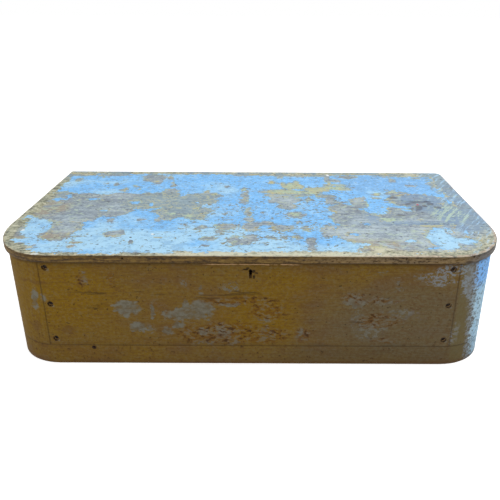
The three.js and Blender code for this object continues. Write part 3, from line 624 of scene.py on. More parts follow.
def lid_paint():
    """Sky blue paint over a cream primer, flaked off in places."""
    finish = Finish("lid_paint")
    x, y, z = finish.x, finish.y, finish.z
    finish.drift = finish.wander(finish.wander(finish.place, 14, (60, 60, 60)), 7, (18, 18, 18))
    fine = finish.speckle((8, 7, 7), roughness=0.7)
    flakes = finish.speckle((17, 12, 12), roughness=0.65)
    clumps = finish.speckle((44, 32, 32), detail=6.0, roughness=0.68)
    mottle = finish.speckle((90, 70, 70), detail=6.0, roughness=0.62)
    noises = (fine, flakes, clumps, mottle)
    ragged = (clumps - 0.5) * 54 + (flakes - 0.5) * 46

    # Where the blue is left, and where the primer is
    edge = lid_edge_distance(finish)
    band = 20 - abs(x + 330).below(150, 60) * 9 + abs(x - 140).below(130, 60) * 3
    left, right = -x - (LID_HIGH[0] - 25), x - (LID_HIGH[0] - 52)
    rims = highest(band - edge, left, right, y - (LID_HIGH[1] - 34))
    bare = highest(finish.patches(LID_BARE), finish.patches(LID_PRIMER), rims)
    kept = highest(-bare, finish.patches(LID_ISLANDS)) + ragged
    density = finish.patches(LID_SPECKLED, finish.place).above(20, 90)
    chipped = (flakes * 0.7 + fine * 0.3 + density * 0.045).above(0.61, 0.02)
    blue = kept.above(0, 1.6) * (1 - chipped)
    ring = (kept + 6 + (fine - 0.5) * 24).above(0, 2.0) * clumps.above(0.49, 0.06)
    primer_field = finish.patches(LID_PRIMER) + ragged * 0.9 + (fine - 0.5) * 30
    primer = highest(primer_field.above(0, 3.0), ring)

    lid_wood(finish, noises, rims, kept)
    turned = finish.node("ShaderNodeMapping", {}, {
        "Vector": finish.wander(finish.place, 10, (60, 60, 60)), "Rotation": (0.0, 0.0, math.radians(-57)),
    }).outputs[0]
    scratches = finish.speckle((80, 9, 30), turned, detail=5.0, roughness=0.7)
    scratched = (x - (LID_HIGH[0] - 100)).above(0, 90) * scratches.above(0.56, 0.06)
    yellow = finish.patches(LID_YELLOW_SCRATCHES).above(0, 30) * scratches.above(0.53, 0.06)
    finish.coat(scratched * 0.5, LID_BLUE_LIGHT)
    finish.coat(yellow * 0.75, PRIMER)
    primer_shade = finish.layered(
        PRIMER,
        (mottle.above(0.52, 0.1), PRIMER_WARM),
        (ring * flakes.above(0.5, 0.06) * 0.7, PRIMER_OCHRE),
        ((flakes * 0.5 + fine * 0.5).below(0.49, 0.08) * 0.7, PRIMER_DARK),
        (y.below(LID_LOW[1] + 50, 20) * 0.7, RIM_CREAM),
    )
    # Painted light: a lighter blue towards the front, laid in with a broad random tone
    lit_paler = finish.patches(LID_LIT_PALE, finish.place).above(6, 100)
    broad_tone_and_light = finish.speckle((200, 150, 150), detail=3.0) + lit_paler * 0.26
    thin = finish.speckle((30, 22, 22), detail=5.0, roughness=0.7)
    blue_shade = finish.layered(
        LID_BLUE,
        (finish.patches(LID_DEEPER, finish.place).above(0, 120), LID_BLUE_DEEP),
        (broad_tone_and_light.above(0.6, 0.22), LID_BLUE_PALE),
        (thin.above(0.55, 0.12) * 0.5, LID_BLUE_DULL),
        (thin.below(0.42, 0.08) * 0.45, LID_BLUE_LIGHT),
        (fine.above(0.57, 0.08) * (0.55 - lit_paler * 0.3), STEEL_GREY),
        (fine.below(0.41, 0.08) * 0.5, LID_BLUE_LIGHT),
    )
    finish.coat(primer, primer_shade)
    finish.coat(chipped * kept.above(-4, 4) * 0.7, CHIPPED_WOOD)
    finish.coat(blue, blue_shade)

    # Stains, dark flecks and one red spot
    clouded = finish.patches(LID_CLOUDED).above(20, 60) * flakes.above(0.44, 0.2)
    finish.coat(clouded * 0.2, STAIN)
    stain = (finish.patches(LID_STAIN) - 1 + ragged * 0.5).above(0, 7)
    finish.coat(stain * 0.6, STAIN)
    flecks = finish.speckle((10, 9, 9), detail=3.0).above(0.66, 0.03)
    finish.coat(flecks * 0.75, STAIN)
    finish.coat(finish.patches([LID_RED_SPOT], finish.place).above(0, 2) * 0.8, RED_SPOT)
    white = (finish.patches(LID_WHITE_SPECKS, finish.place) * 0.3 + (fine - 0.5) * 8).above(0, 0.8)
    finish.coat(white * 0.85, WHITE_SPECK)

    # The edge below the top face, and the underside
    nicks = finish.speckle((11, 11, 5), roughness=0.7)
    long_marks = finish.speckle((60, 60, 6), detail=5.0, roughness=0.7)
    edge_tone = nicks * 0.45 + long_marks * 0.55
    at_end = x.above(LID_HIGH[0] - 100, 60)
    edge_shade = finish.layered(
        finish.ramp(edge_tone, [(0.42, EDGE_DARK), (0.5, EDGE_BROWN), (0.6, EDGE_OCHRE)]),
        (x.above(160, 300) * nicks.above(0.46, 0.1) * 0.4, EDGE_PALE),
        (at_end * nicks.above(0.4, 0.14) * 0.7, EDGE_SLATE),
        (z.above(LID_HIGH[2] - 7, 5) * 0.3, EDGE_DARK),
    )
    side = z.below(LID_HIGH[2] - 0.9, 1.2)
    worn_right = x.above(320, 220) * y.below(-160, 60)
    arris = (edge - worn_right * 4 + (fine - 0.5) * 12).below(4.0, 3.0) * (1 - side)
    arris = arris * (0.2 + 0.8 * flakes.above(0.45, 0.1))
    arris_shade = finish.mix(x.above(200, 500), ARRIS_WOOD, ARRIS_PINK)
    # Painted shadow of the gap under the lid: a dark line along the lower arris of the edge, stronger on
    # the right
    lip_shadow = z.below(LID_LOW[2] + 2.5, 3) * (0.62 + x.above(180, 160) * 0.3)
    finish.coat(arris * (0.5 + worn_right * 0.05), arris_shade)
    finish.coat(side, edge_shade)
    finish.coat(lip_shadow, EDGE_DARK)
    under = z.below(LID_LOW[2] + 1.8, 0.6) * edge.above(3, 2)
    finish.coat(under, pine(finish, "x")[0])

    grooves = finish.speckle((70, 6, 6), detail=2.0)
    height = blue * 0.6 + primer * 0.25 + grooves * 0.3 + flakes * 0.3 - flecks * 0.5 + nicks * side * 0.8
    return finish.done(0.66 - blue * 0.12, height, 1.0, specular=0.2)


def wall_depth(finish):
    """How deep a place lies behind the walls' outer faces, round the front corners."""
    over_x = abs(finish.x) - (WALL_RIGHT - CORNER_RADIUS)
    over_y = -finish.y + (WALL_FRONT + CORNER_RADIUS)
    outside = finish.joined(highest(over_x, finish.x * 0), highest(over_y, finish.y * 0))
    inside = lowest(highest(over_x, over_y), finish.x * 0)
    round_part = Level(finish, finish.vector("LENGTH", outside)) + inside
    return lowest(CORNER_RADIUS - round_part, WALL_BACK - finish.y)


def outer_paint(grain, screws):
    """Ochre over an older grey-blue coat, worn through in places, on wood with its grain along an axis."""
    finish = Finish(f"outer_paint_{grain}")
    x, y, z = finish.x, finish.y, finish.z
    face = finish.joined(x, z)
    finish.drift = finish.wander(finish.wander(face, 12, (46, 46, 30)), 6, (13, 13, 9))
    brushed = finish.speckle(GRAIN_SIZES[grain], detail=3.0, roughness=0.6)
    clumps = finish.speckle((30, 30, 16), detail=6.0, roughness=0.68)
    flakes = finish.speckle((12, 12, 8), roughness=0.65)
    fine = finish.speckle((8, 8, 6), detail=3.0, roughness=0.65)
    mottle = finish.speckle((110, 110, 60), detail=6.0, roughness=0.6)
    ragged = (clumps - 0.5) * 44 + (flakes - 0.5) * 34
    in_front = y.below(WALL_FRONT + 110, 40)

    bright = finish.patches(FRONT_BRIGHT).above(20, 100) * in_front
    dull = finish.patches(FRONT_DULL).above(4, 90) * in_front
    tone = mottle * 0.7 + brushed * 0.2 + fine * 0.1
    finish.shade = finish.ramp(tone, [(0.4, OCHRE_BROWN), (0.5, OCHRE), (0.62, OCHRE_WARM)])
    finish.coat(bright * 0.9, OCHRE_BRIGHT)
    finish.coat(dull * 0.75, OCHRE_DULL)
    fibres = finish.speckle(tuple(0.7 * size for size in GRAIN_SIZES[grain]), detail=2.0)
    finish.coat(brushed.above(0.56, 0.14) * 0.15, DIRT_AND_SHADE)
    finish.coat(fibres.below(0.42, 0.1) * 0.08, OLD_GREY_BLUE_PALE_AND_HIGHLIGHT)
    finish.coat(fine.above(0.56, 0.08) * 0.4, SMUDGE)
    finish.coat(fine.below(0.42, 0.08) * 0.16, OLD_GREY_BLUE_PALE_AND_HIGHLIGHT)
    finish.coat((flakes * 0.6 + mottle * 0.4).above(0.6, 0.06) * 0.4, SMUDGE)
    dots = finish.speckle((8, 8, 6.5), detail=1.0).above(0.72, 0.04)
    finish.coat(dots * 0.6, DIRT_AND_SHADE)
    smudged = (finish.patches(FRONT_SMUDGED) + ragged * 0.5).above(2, 12) * in_front
    finish.coat(smudged * 0.45, SMUDGE)

    # The older coat shows through
    named = finish.patches(FRONT_WORN) - (1 - in_front) * 40
    elsewhere = (finish.speckle((110, 110, 60)) - 0.66) * 160 - in_front * 60
    worn = (highest(named, elsewhere) + 1 + ragged * 0.7).above(0, 8)
    scattered = (flakes * 0.4 + fine * 0.6).above(0.5, 0.05)
    thin = (finish.patches(FRONT_THIN) + ragged * 0.5).above(2, 12) * scattered * in_front
    older = finish.layered(
        OLD_GREY_BLUE,
        ((clumps * 0.5 + flakes * 0.5).above(0.5, 0.16), OLD_GREY_BLUE_PALE_AND_HIGHLIGHT),
        (x.above(400, 80), POST_GREY),
    )
    covered = highest(worn * (0.6 + 0.25 * clumps.above(0.46, 0.12)), thin * 0.75)
    finish.coat(covered, older)

    # The right corner has lost most of its ochre, more of it higher up
    past_seam = x - SEAM
    behind = (y + ragged * 1.6 + (mottle - 0.5) * 420).below(WALL_BACK - 90, 10)
    remains = (mottle * 0.5 + clumps * 0.5).above(0.57, 0.03) * y.above(WALL_FRONT + 110, 60)
    behind = behind * (1 - remains)
    lean = (z - 120) * 0.08 + ragged * 0.7 + (fine - 0.5) * 44
    greyed = (past_seam - 41 + lean + (z - 190).above(0, 60) * 22).above(0, 14) * behind
    blued = (past_seam - 57 + lean).above(0, 20) * behind
    sky = (z - 205 + ragged * 0.5).above(0, 36)
    finish.coat(past_seam.above(6, 8) * 0.5 * behind, POST_OLIVE)
    finish.coat(greyed * (0.4 + scattered * 0.45), POST_GREY)
    runs = finish.speckle((14, 14, 90), detail=3.0)
    streaks = runs.above(0.5, 0.2) * (0.6 - sky * 0.45)
    blue_shade = finish.layered(FADED_BLUE, (sky, SKY_BLUE), (streaks, FADED_PALE))
    finish.coat(blued * 0.92, blue_shade)
    near_edge = abs(past_seam - 62 + lean).below(30, 40)
    spots = (flakes * 0.5 + fine * 0.5 - near_edge * 0.06).below(0.4, 0.05)
    spots = spots * (past_seam - 30).above(0, 24) * behind
    finish.coat(spots * 0.6, POST_SPOTS)

    # Flaked and pitted paint: dark worm-like cracks with orange rims between grey specks
    region = (finish.patches(FRONT_PITTED) + ragged * 0.3).above(2, 12) * in_front
    cells = finish.speckle((13, 13, 7), finish.wander(finish.place, 4, (12, 12, 8)), detail=2.0)
    broken = clumps.above(0.47, 0.12)
    finish.coat(region * 0.2, PIT_ORANGE)
    finish.coat(cells.above(0.54, 0.06) * region * 0.6, PIT_ORANGE)
    finish.coat(cells.below(0.43, 0.05) * region * 0.35, OLD_GREY_BLUE_PALE_AND_HIGHLIGHT)
    cracks = cells.above(0.6, 0.05) * region * broken
    finish.coat(cracks * 0.75, PIT_DARK)
    hairs = finish.speckle((90, 90, 4.5), detail=2.0)
    torn = finish.patches(FRONT_CRACKED).above(4, 8) * in_front * hairs.above(0.6, 0.05)
    finish.coat(torn * 0.6, DIRT_AND_SHADE)

    # Painted shade: each sunk screw hole gets a dark mouth, and each front one a pale painted highlight at
    # its lower right. The nail hole gets a dark stain of the mouths' colour, and the keyhole is ringed with
    # dark chipped spots
    mouths = finish.nearest([*screws, NAIL_STAIN])
    hole_highlights = finish.nearest([(px + 6.5, py, pz - 6.0) for px, py, pz in screws if py == WALL_FRONT])
    hole_highlights = (hole_highlights + ragged * 0.2).below(3.6, 2.0)
    finish.coat(hole_highlights * 0.45, OLD_GREY_BLUE_PALE_AND_HIGHLIGHT)
    finish.coat((mouths + (fine - 0.5) * 6).below(7.1, 1.2) * 0.9, MOUTH)
    frayed = finish.wander(face, 2, (5, 5, 5))
    keyed = (finish.patches(KEYHOLE_CHIPS, frayed) * 0.3).above(0, 0.8) * in_front
    finish.coat(keyed * 0.85, DIRT_AND_SHADE)

    # Darker towards the bottom and along the right of the base, painted shade below the lid, and dirt in
    # the seams
    low = z + ragged * 0.5
    base_right = z.below(BASE_TOP, 2) * x.above(80, 120) * in_front
    finish.coat(base_right * 0.12, DIRT_AND_SHADE)
    finish.coat(low.below(8, 14) * 0.55, SMUDGE)
    # Painted shade: the front darker just below the overhang of the lid
    finish.coat(z.above(WALL_TOP - 14, 10) * 0.55, DIRT_AND_SHADE)
    bare_x, bare_z, half_length, half_height = FRONT_BARE_TOP
    bare_top = abs(z - bare_z + (flakes - 0.5) * 5).below(half_height, 1.0) * in_front
    bare_top = bare_top * abs(x - bare_x).below(half_length, 30) * clumps.above(0.42, 0.1)
    finish.coat(bare_top * 0.6, BARE_STRIP)
    seam = abs(abs(x) - SEAM).below(2.0, 2.0) * in_front * z.above(BASE_TOP, 1.0)
    line = abs(z - BASE_TOP).below(1.5, 1.5)
    finish.coat(highest(seam, line) * 0.35, DIRT_AND_SHADE)

    # Inside faces and undersides are bare
    inner = wall_depth(finish).above(6.0, 1.0)
    finish.coat(inner, pine(finish, grain)[0])
    height = fibres * 0.3 + mottle * 0.3 - worn * 0.3 - cracks * 0.6 - torn * 0.5 - keyed
    return finish.done(0.66 + mottle * 0.2, height, 0.8, specular=0.12)


def seen_straight(nodes):
    """1 for what the camera sees, also in a reflection or through glass, and 0 for light on its way."""
    seen = nodes.node("ShaderNodeLightPath").outputs
    rays = ("Is Camera Ray", "Is Glossy Ray", "Is Transmission Ray")
    return highest(*[Level(nodes, seen[ray]) for ray in rays])


def stage_finish():
    """A pale floor that renders white away from the chest and keeps its shadow."""
    finish = Finish("studio_floor")
    plain = finish.node("ShaderNodeBsdfDiffuse", {}, {"Color": FLOOR_COLOUR})
    glow = seen_straight(finish) * FLOOR_GLOW
    light = finish.node("ShaderNodeEmission", {}, {"Color": WHITE, "Strength": glow})
    both = finish.node("ShaderNodeAddShader", {}, {0: plain.outputs[0], 1: light.outputs[0]})
    finish.node("ShaderNodeOutputMaterial", {}, {"Surface": both.outputs[0]})
    return finish.material


# Modelling
def select_only(piece):
    bpy.ops.object.select_all(action="DESELECT")
    piece.select_set(True)
    bpy.context.view_layer.objects.active = piece


def edit(piece, selection="SELECT"):
    select_only(piece)
    bpy.ops.object.mode_set(mode="EDIT")
    bpy.ops.mesh.select_all(action=selection)


def end_edit():
    bpy.ops.object.mode_set(mode="OBJECT")


def select_faces(piece, way):
    """In edit mode, selects the faces that look up, for a way of 1, or down, for -1."""
    for face in bmesh.from_edit_mesh(piece.data).faces:
        face.select_set(face.normal.z * way > 0.5)
    bmesh.update_edit_mesh(piece.data)


def extrude(depth, ratio):
    """Draws the selected faces out along Z, in millimetres, and scales them about the Z axis."""
    bpy.ops.mesh.extrude_region_move(TRANSFORM_OT_translate={"value": (0, 0, depth * MM)})
    bpy.ops.transform.resize(value=(ratio, ratio, 1), center_override=(0, 0, 0))


def add_piece(name, mesh):
    piece = bpy.data.objects.new(name, mesh.copy())
    bpy.context.scene.collection.objects.link(piece)
    return piece


def copy_of(node, name):
    """A new piece with a copy of a CAD node's mesh, its doubled points merged and flat faces made whole."""
    piece = add_piece(name, frame["nodes"][node].data)
    edit(piece)
    bpy.ops.mesh.remove_doubles(threshold=MERGE_DISTANCE * MM)
    bpy.ops.mesh.dissolve_limited(angle_limit=math.radians(FLAT_ANGLE))
    end_edit()
    return piece


def ease_edges(piece, width, shortest, segments=2):
    """Bevels the long outer edges, so that the arrises look handled."""
    edit(piece, "DESELECT")
    bpy.ops.mesh.select_mode(type="EDGE")
    shape = bmesh.from_edit_mesh(piece.data)
    for edge in shape.edges:
        if len(edge.link_faces) == 2 and edge.is_convex:
            sharp = edge.calc_face_angle() > math.radians(SHARP_ANGLE)
            edge.select_set(sharp and edge.calc_length() > shortest * MM)
    bmesh.update_edit_mesh(piece.data)
    bpy.ops.mesh.bevel(offset=width * MM, segments=segments, profile=0.5, clamp_overlap=True)
    end_edit()


def slice_across(piece, axis, spacing):
    """Cuts the faces across an axis at even steps, to give the surface points that wear can move."""
    values = [vertex.co[axis] for vertex in piece.data.vertices]
    low, high = min(values), max(values)
    count = max(1, round((high - low) / (spacing * MM)))
    normal = [0.0, 0.0, 0.0]
    normal[axis] = 1.0
    edit(piece)
    for i in range(1, count):
        place = [0.0, 0.0, 0.0]
        place[axis] = low + (high - low) * i / count
        bpy.ops.mesh.select_all(action="SELECT")
        bpy.ops.mesh.bisect(plane_co=place, plane_no=normal)
    end_edit()


def wear(piece, ripple, loss):
    """Moves the surface inwards: a slow ripple on the faces, and a chipped loss along the arrises."""
    mesh = piece.data
    turns = [0.0] * len(mesh.vertices)
    for face in mesh.polygons:
        for index in face.vertices:
            turns[index] = max(turns[index], 1 - mesh.vertices[index].normal.dot(face.normal))
    moves = []
    for vertex in mesh.vertices:
        slow = 0.5 + 0.5 * noise.noise(vertex.co / (RIPPLE_SIZE * MM))
        chip = noise.noise(vertex.co / (CHIP_RUN * MM)) + 0.5 * noise.noise(vertex.co / (CHIP_SIZE * MM))
        chip = max(0.0, chip + CHIP_SHARE)
        on_arris = 1.0 if turns[vertex.index] > ARRIS_TURN else 0.0
        moves.append(vertex.normal * -(ripple * slow + loss * chip * on_arris) * MM)
    for vertex, move in zip(mesh.vertices, moves):
        vertex.co += move
    mesh.update()


def smooth(piece, angle=30):
    select_only(piece)
    bpy.ops.object.shade_smooth_by_angle(angle=math.radians(angle))


def dress(piece, coat, body, *nodes):
    """Gives a piece its coat's material and its body, and hides the nodes that it replaces."""
    material, slot = coat
    piece.data.materials.clear()
    piece.data.materials.append(material)
    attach(piece, body)
    if nodes:
        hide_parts(*nodes)


def aimed(place, facing):
    """Turns +Z to face that way, and moves the origin to that place, in millimetres."""
    turn = Vector(UP).rotation_difference(Vector(facing)).to_matrix().to_4x4()
    return Matrix.Translation(Vector(place) * MM) @ turn


# Holes, dents and splits
def drill(place, radius, depth, facing, stretch=1.0):
    """A cutter for a round or drawn-out dent at that place in a face."""
    bpy.ops.mesh.primitive_uv_sphere_add(segments=12, ring_count=8, radius=MM)
    cutter = bpy.context.object
    cutter.data.transform(aimed(place, facing) @ Matrix.Diagonal((radius * stretch, radius, depth, 1.0)))
    return cutter


def split(x_low, x_high, y, z, width, depth):
    """A cutter for a crack that runs along X in a flat top, wandering a little and closing at its ends."""
    bpy.ops.mesh.primitive_cube_add(size=1, location=((x_low + x_high) / 2 * MM, y * MM, z * MM))
    cutter = bpy.context.object
    cutter.scale = ((x_high - x_low) * MM, width * MM, 2 * depth * MM)
    bpy.ops.object.transform_apply(location=True, rotation=True, scale=True)
    slice_across(cutter, 0, SPLIT_STEP)
    for vertex in cutter.data.vertices:
        along = (vertex.co.x / MM - x_low) / (x_high - x_low)
        opening = SPLIT_END + (1 - SPLIT_END) * math.sin(math.pi * min(max(along, 0.0), 1.0))
        wander = SPLIT_WANDER * noise.noise(Vector((vertex.co.x / (SPLIT_RUN * MM), y, 0.0)))
        vertex.co.y = (y + wander) * MM + (vertex.co.y - y * MM) * opening
    return cutter


def cut_away(piece, cutters):
    for cutter in cutters:
        cut = piece.modifiers.new("cut", "BOOLEAN")
        cut.operation = "DIFFERENCE"
        cut.solver = "EXACT"
        cut.object = cutter
        select_only(piece)
        bpy.ops.object.modifier_apply(modifier=cut.name)
        bpy.data.objects.remove(cutter)


# Boards and iron
def body_of(node):
    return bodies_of(frame["nodes"][node])[0]


def worn_board(node, coat, steps, amounts):
    """A board with its holes and splits, eased, cut at steps along X, Y and Z, and then worn."""
    arris, ripple, loss = amounts
    piece = copy_of(node, f"{node}_worn")
    cutters = [drill(*hole) for hole in HOLES.get(node, [])]
    cut_away(piece, cutters + [split(*line) for line in SPLITS.get(node, [])])
    if arris:
        ease_edges(piece, arris, ARRIS_LEAST)
    for axis, step in enumerate(steps):
        if step:
            slice_across(piece, axis, step)
    wear(piece, ripple, loss)
    smooth(piece)
    dress(piece, coat, body_of(node), node)


def wall_screws():
    """The screws through the front board and the end boards: name, place, facing and turn of each."""
    cleat_y = middle("right_rear_cleat", 1)
    screws = []
    for i in (1, 2, 3):
        for side, end in SIDES:
            x, z = middle(f"front_screw_{side}_{i}", 0), middle(f"front_screw_{side}_{i}", 2)
            near_seam = corners(f"{side}_end_board")[0][1] + WALL_SCREW_FROM_SEAM
            screws.append((f"front_screw_{side}_{i}", (x, WALL_FRONT, z), FORWARD, 0.7 * (i - 1) + end))
            for place, y in (("front", near_seam), ("rear", cleat_y)):
                name = f"{side}_end_screw_{place}_{i}"
                screws.append((name, (end * WALL_RIGHT, y, z), (end, 0, 0), 1.1 * (i - 1) + y))
    return screws


def add_boards():
    mouths = [place for name, place, facing, turn in wall_screws()]
    paint = {grain: (outer_paint(grain, mouths), "outer_paint") for grain in "xyz"}
    wood = {grain: (bare_wood(grain), "bare_wood") for grain in "xyz"}
    lid = (lid_paint(), "lid_paint")
    for part in LID_PARTS:
        worn_board(f"lid_board_{part}", lid, (10, 20, 0), LID_WEAR)
    painted = [
        ("x", (12, 0, 16), ["front_board"]),
        ("x", (16, 0, 24), ["back_board"]),
        ("z", (0, 0, 12), ["left_corner_post", "right_corner_post"]),
        ("y", (0, 14, 24), ["left_end_board", "right_end_board"]),
        ("x", (12, 0, 13), ["base_front_rail"]),
        ("x", (16, 0, 13), ["base_back_rail"]),
        ("y", (0, 14, 13), ["base_left_rail", "base_right_rail"]),
    ]
    for grain, steps, nodes in painted:
        for node in nodes:
            worn_board(node, paint[grain], steps, WALL_WEAR)
    inner = {
        "z": ["left_rear_cleat", "right_rear_cleat"],
        "y": [
            "till_front", "till_bottom", "till_ledger", "floor_bearer_left", "floor_bearer_right",
            "lid_batten_left", "lid_batten_right",
        ],
        "x": [f"floor_board_{i}" for i in range(1, 5)],
    }
    for grain, nodes in inner.items():
        steps = [INNER_STEP if axis == grain else 0 for axis in "xyz"]
        for node in nodes:
            worn_board(node, wood[grain], steps, INNER_WEAR)


def add_iron():
    black = (iron("black_iron", 0.42), "black_iron")
    lock = (iron("lock_iron", 0.5), "lock_iron")
    for node in frame["nodes"]:
        if "hinge" in node or node.startswith("lock_"):
            piece = copy_of(node, f"{node}_iron")
            ease_edges(piece, IRON_EASE, IRON_ARRIS_LEAST)
            smooth(piece, 40)
            dress(piece, lock if node.startswith("lock_") else black, body_of(node), node)
    # Painted shade: the sunk wall screws get a darker copy of the black iron, blotched with the colour of
    # the hole mouths
    add_fasteners(black, (iron("sunk_iron", 0.4, IRON, MOUTH), "black_iron"), lock)


# Screws and nails, which point down -Z from a face at Z = 0
def countersunk_screw(size):
    """A slotted screw: head, tapered neck, a shank with thread ridges, and a point."""
    bpy.ops.mesh.primitive_circle_add(vertices=20, radius=size.head * MM, fill_type="NGON")
    piece = bpy.context.object
    threads = round((size.length - size.head_depth) / SCREW_PITCH) - 1
    steps = [(HEAD_EDGE, 1.0), (size.head_depth - HEAD_EDGE, size.shank / size.head)]
    steps += [(SCREW_PITCH / 2, THREAD_SWELL), (SCREW_PITCH / 2, 1 / THREAD_SWELL)] * threads
    steps += [(SCREW_PITCH, 0.1)]
    edit(piece)
    bpy.ops.transform.translate(value=(0, 0, -size.sink * MM))
    for depth, ratio in steps:
        extrude(-depth, ratio)
    bpy.ops.mesh.select_all(action="SELECT")
    bpy.ops.mesh.normals_make_consistent(inside=False)
    end_edit()
    bpy.ops.mesh.primitive_cube_add(size=1, location=(0, 0, -size.sink * MM))
    cutter = bpy.context.object
    cutter.scale = (3 * size.head * MM, SCREW_SLOT_WIDTH * MM, 2 * SCREW_SLOT_DEPTH * MM)
    cut_away(piece, [cutter])
    ease_edges(piece, SCREW_EASE, SCREW_ARRIS_LEAST, 1)
    smooth(piece, 35)
    return piece


def cut_nail():
    """A hand-made nail: a slightly domed, uneven head on a square shank."""
    bpy.ops.mesh.primitive_cube_add(size=2 * NAIL_SHANK * MM, location=(0, 0, -NAIL_SHANK * MM))
    piece = bpy.context.object
    bpy.ops.object.transform_apply(location=True)
    edit(piece)
    select_faces(piece, -1)
    bpy.ops.transform.translate(value=(0, 0, -(NAIL_LENGTH - 2 * NAIL_SHANK) * MM))
    bpy.ops.transform.resize(value=(0.5, 0.5, 1), center_override=(0, 0, 0))
    select_faces(piece, 1)
    for depth, ratio in ((0.0, NAIL_HEAD / NAIL_SHANK), (0.7, 0.92), (0.3, 0.5)):
        extrude(depth, ratio)
    bpy.ops.mesh.select_all(action="SELECT")
    bpy.ops.mesh.remove_doubles(threshold=MERGE_DISTANCE * MM)
    bpy.ops.mesh.normals_make_consistent(inside=False)
    end_edit()
    bevel = piece.modifiers.new("worn", "BEVEL")
    bevel.width = NAIL_EASE * MM
    bevel.segments = 2
    bpy.ops.object.modifier_apply(modifier=bevel.name)
    smooth(piece, 40)
    return piece


def drive(master, name, place, facing, turn, coat, body, *nodes):
    """A copy of a screw or nail, driven in at that place with its head facing that way."""
    piece = add_piece(name, master.data)
    piece.data.transform(aimed(place, facing) @ Matrix.Rotation(turn, 4, "Z"))
    dress(piece, coat, body, *nodes)


def evenly(count, low, high):
    return [low + (high - low) * (i + 0.5) / count for i in range(count)]


def add_fasteners(black, sunk, lock):
    sizes = (WALL_SCREW, BACK_SCREW, BATTEN_SCREW, HINGE_SCREW, LOCK_SCREW)
    masters = [countersunk_screw(size) for size in sizes] + [cut_nail()]
    wall, back, batten, hinge, small, nail = masters

    for name, place, facing, turn in wall_screws():
        if facing == FORWARD:
            drive(wall, f"{name}_slotted", place, facing, turn, sunk, "chest", name)
        else:
            drive(wall, name, place, facing, turn, sunk, "chest")
    batten_low, batten_high = corners("lid_batten_left")
    batten_ys = []
    for low, high in LID_BOXES:
        batten_ys += evenly(2, max(low[1], batten_low[1]), min(high[1], batten_high[1]))
    for side, end in SIDES:
        cleat = end * middle("right_rear_cleat", 0)
        for i in range(3):
            place = (cleat, WALL_BACK, middle(f"front_screw_left_{i + 1}", 2))
            drive(back, f"back_screw_{side}_{i + 1}", place, BACKWARD, 0.9 * i + 2 * end, black, "chest")
        for i, y in enumerate(batten_ys):
            place = (middle(f"lid_batten_{side}", 0), y, batten_low[2])
            drive(batten, f"batten_screw_{side}_{i + 1}", place, DOWN, 0.8 * i + end, black, "lid")
        leaf = f"{side}_hinge_lower_leaf"
        for i, step in enumerate((-1, 0, 1)):
            x = middle(leaf, 0) + step * HINGE_SCREW_SPACING
            y = (corners(leaf)[0][1] + WALL_BACK) / 2 + HINGE_SCREW_STAGGER * (0.5 if i == 1 else -0.5)
            name = f"{side}_hinge_lower_screw_{i + 1}"
            drive(hinge, name, (x, y, WALL_TOP - HINGE_GAP), UP, 0.6 * i, black, "chest")
            name = f"{side}_hinge_upper_screw_{i + 1}"
            drive(hinge, name, (x, y, WALL_TOP + HINGE_GAP), DOWN, 0.5 * i, black, "lid")

    plate_low, plate_high = corners("lock_plate")
    case_low, case_high = corners("lock_case")
    inset = ((plate_high[0] - plate_low[0]) - (case_high[0] - case_low[0])) / 4
    rise = (case_high[2] - case_low[2]) / 5
    for i, x in enumerate((plate_low[0] + inset, plate_high[0] - inset)):
        for k, z in enumerate((case_high[2] - rise, case_low[2] + rise)):
            place = (x, INSIDE_FRONT + LOCK_PLATE_THICKNESS, z)
            drive(small, f"lock_screw_{i + 1}_{k + 1}", place, BACKWARD, i + 2 * k, lock, "chest")
    staple_low, staple_high = corners("lock_staple")
    for i, way in enumerate((-1, 1)):
        x = middle("lock_staple", 0) + way * (staple_high[0] - staple_low[0]) / 3
        place = (x, middle("lock_staple", 1), WALL_TOP - STAPLE_THICKNESS)
        drive(small, f"staple_screw_{i + 1}", place, DOWN, 1.3 * i, lock, "lid")
    for board in range(1, 5):
        low, high = corners(f"floor_board_{board}")
        for side, _ in SIDES:
            x = middle(f"floor_bearer_{side}", 0)
            for i, y in enumerate(evenly(2, low[1], high[1])):
                name = f"floor_nail_{side}_{board}_{i + 1}"
                drive(nail, name, (x + 3 * (-1) ** i, y, high[2]), UP, 0.2 * i + board, black, "chest")
    for master in masters:
        bpy.data.objects.remove(master)


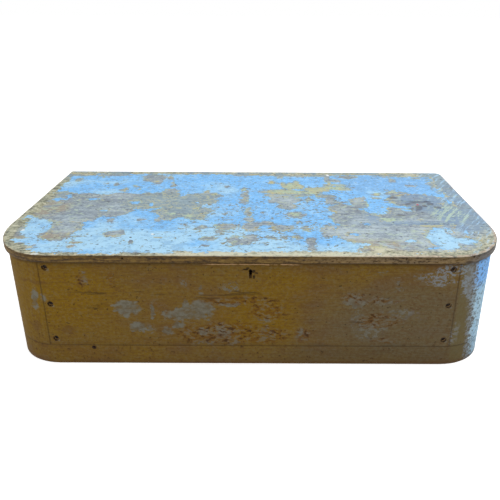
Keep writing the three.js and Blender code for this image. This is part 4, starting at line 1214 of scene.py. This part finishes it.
# Stage, light and camera
def add_stage():
    bpy.ops.mesh.primitive_plane_add(size=FLOOR_SIZE, location=(0, 0, -FLOOR_DROP))
    floor = bpy.context.object
    floor.name = "studio_floor"
    floor.data.materials.append(stage_finish())

    world = bpy.data.worlds.new("studio")
    bpy.context.scene.world = world
    nodes = Nodes(world)
    soft = nodes.node("ShaderNodeBackground", {}, {"Color": WHITE, "Strength": WORLD_STRENGTH})
    white = nodes.node("ShaderNodeBackground", {}, {"Color": WHITE, "Strength": 1.0})
    mixed = nodes.node("ShaderNodeMixShader", {}, {
        0: seen_straight(nodes), 1: soft.outputs[0], 2: white.outputs[0],
    })
    nodes.node("ShaderNodeOutputWorld", {}, {"Surface": mixed.outputs[0]})


def add_lamp(name, place, aim, size, power):
    bpy.ops.object.light_add(type="AREA", location=place)
    lamp = bpy.context.object
    lamp.name = name
    lamp.data.shape = "SQUARE"
    lamp.data.size = size
    lamp.data.energy = power
    direction = Vector(aim) - Vector(place)
    lamp.rotation_euler = direction.to_track_quat("-Z", "Y").to_euler()


def add_camera():
    down, yaw, roll = (math.radians(angle) for angle in (CAMERA_DOWN, CAMERA_YAW, CAMERA_ROLL))
    ahead = Vector((math.sin(yaw) * math.cos(down), math.cos(yaw) * math.cos(down), -math.sin(down)))
    level = Vector((math.cos(yaw), -math.sin(yaw), 0.0))
    upright = level.cross(ahead)
    right = level * math.cos(roll) + upright * math.sin(roll)
    up = upright * math.cos(roll) - level * math.sin(roll)
    place = Vector(CAMERA_PLACE) * MM
    turn = Matrix((right, up, -ahead)).transposed()
    bpy.ops.object.camera_add()
    camera = bpy.context.object
    camera.matrix_world = Matrix.Translation(place) @ turn.to_4x4()
    camera.data.sensor_width = SENSOR_WIDTH
    camera.data.lens = FOCAL_PIXELS * SENSOR_WIDTH / IMAGE_SIZE
    camera.data.shift_x = (IMAGE_SIZE / 2 - AXIS_PIXEL) / IMAGE_SIZE
    bpy.context.scene.camera = camera


bpy.ops.object.select_all(action="DESELECT")
bpy.context.scene.view_settings.view_transform = "Standard"
add_camera()
add_stage()
for name, (place, aim, size, power) in LAMPS.items():
    add_lamp(name, place, aim, size, power)
add_boards()
add_iron()
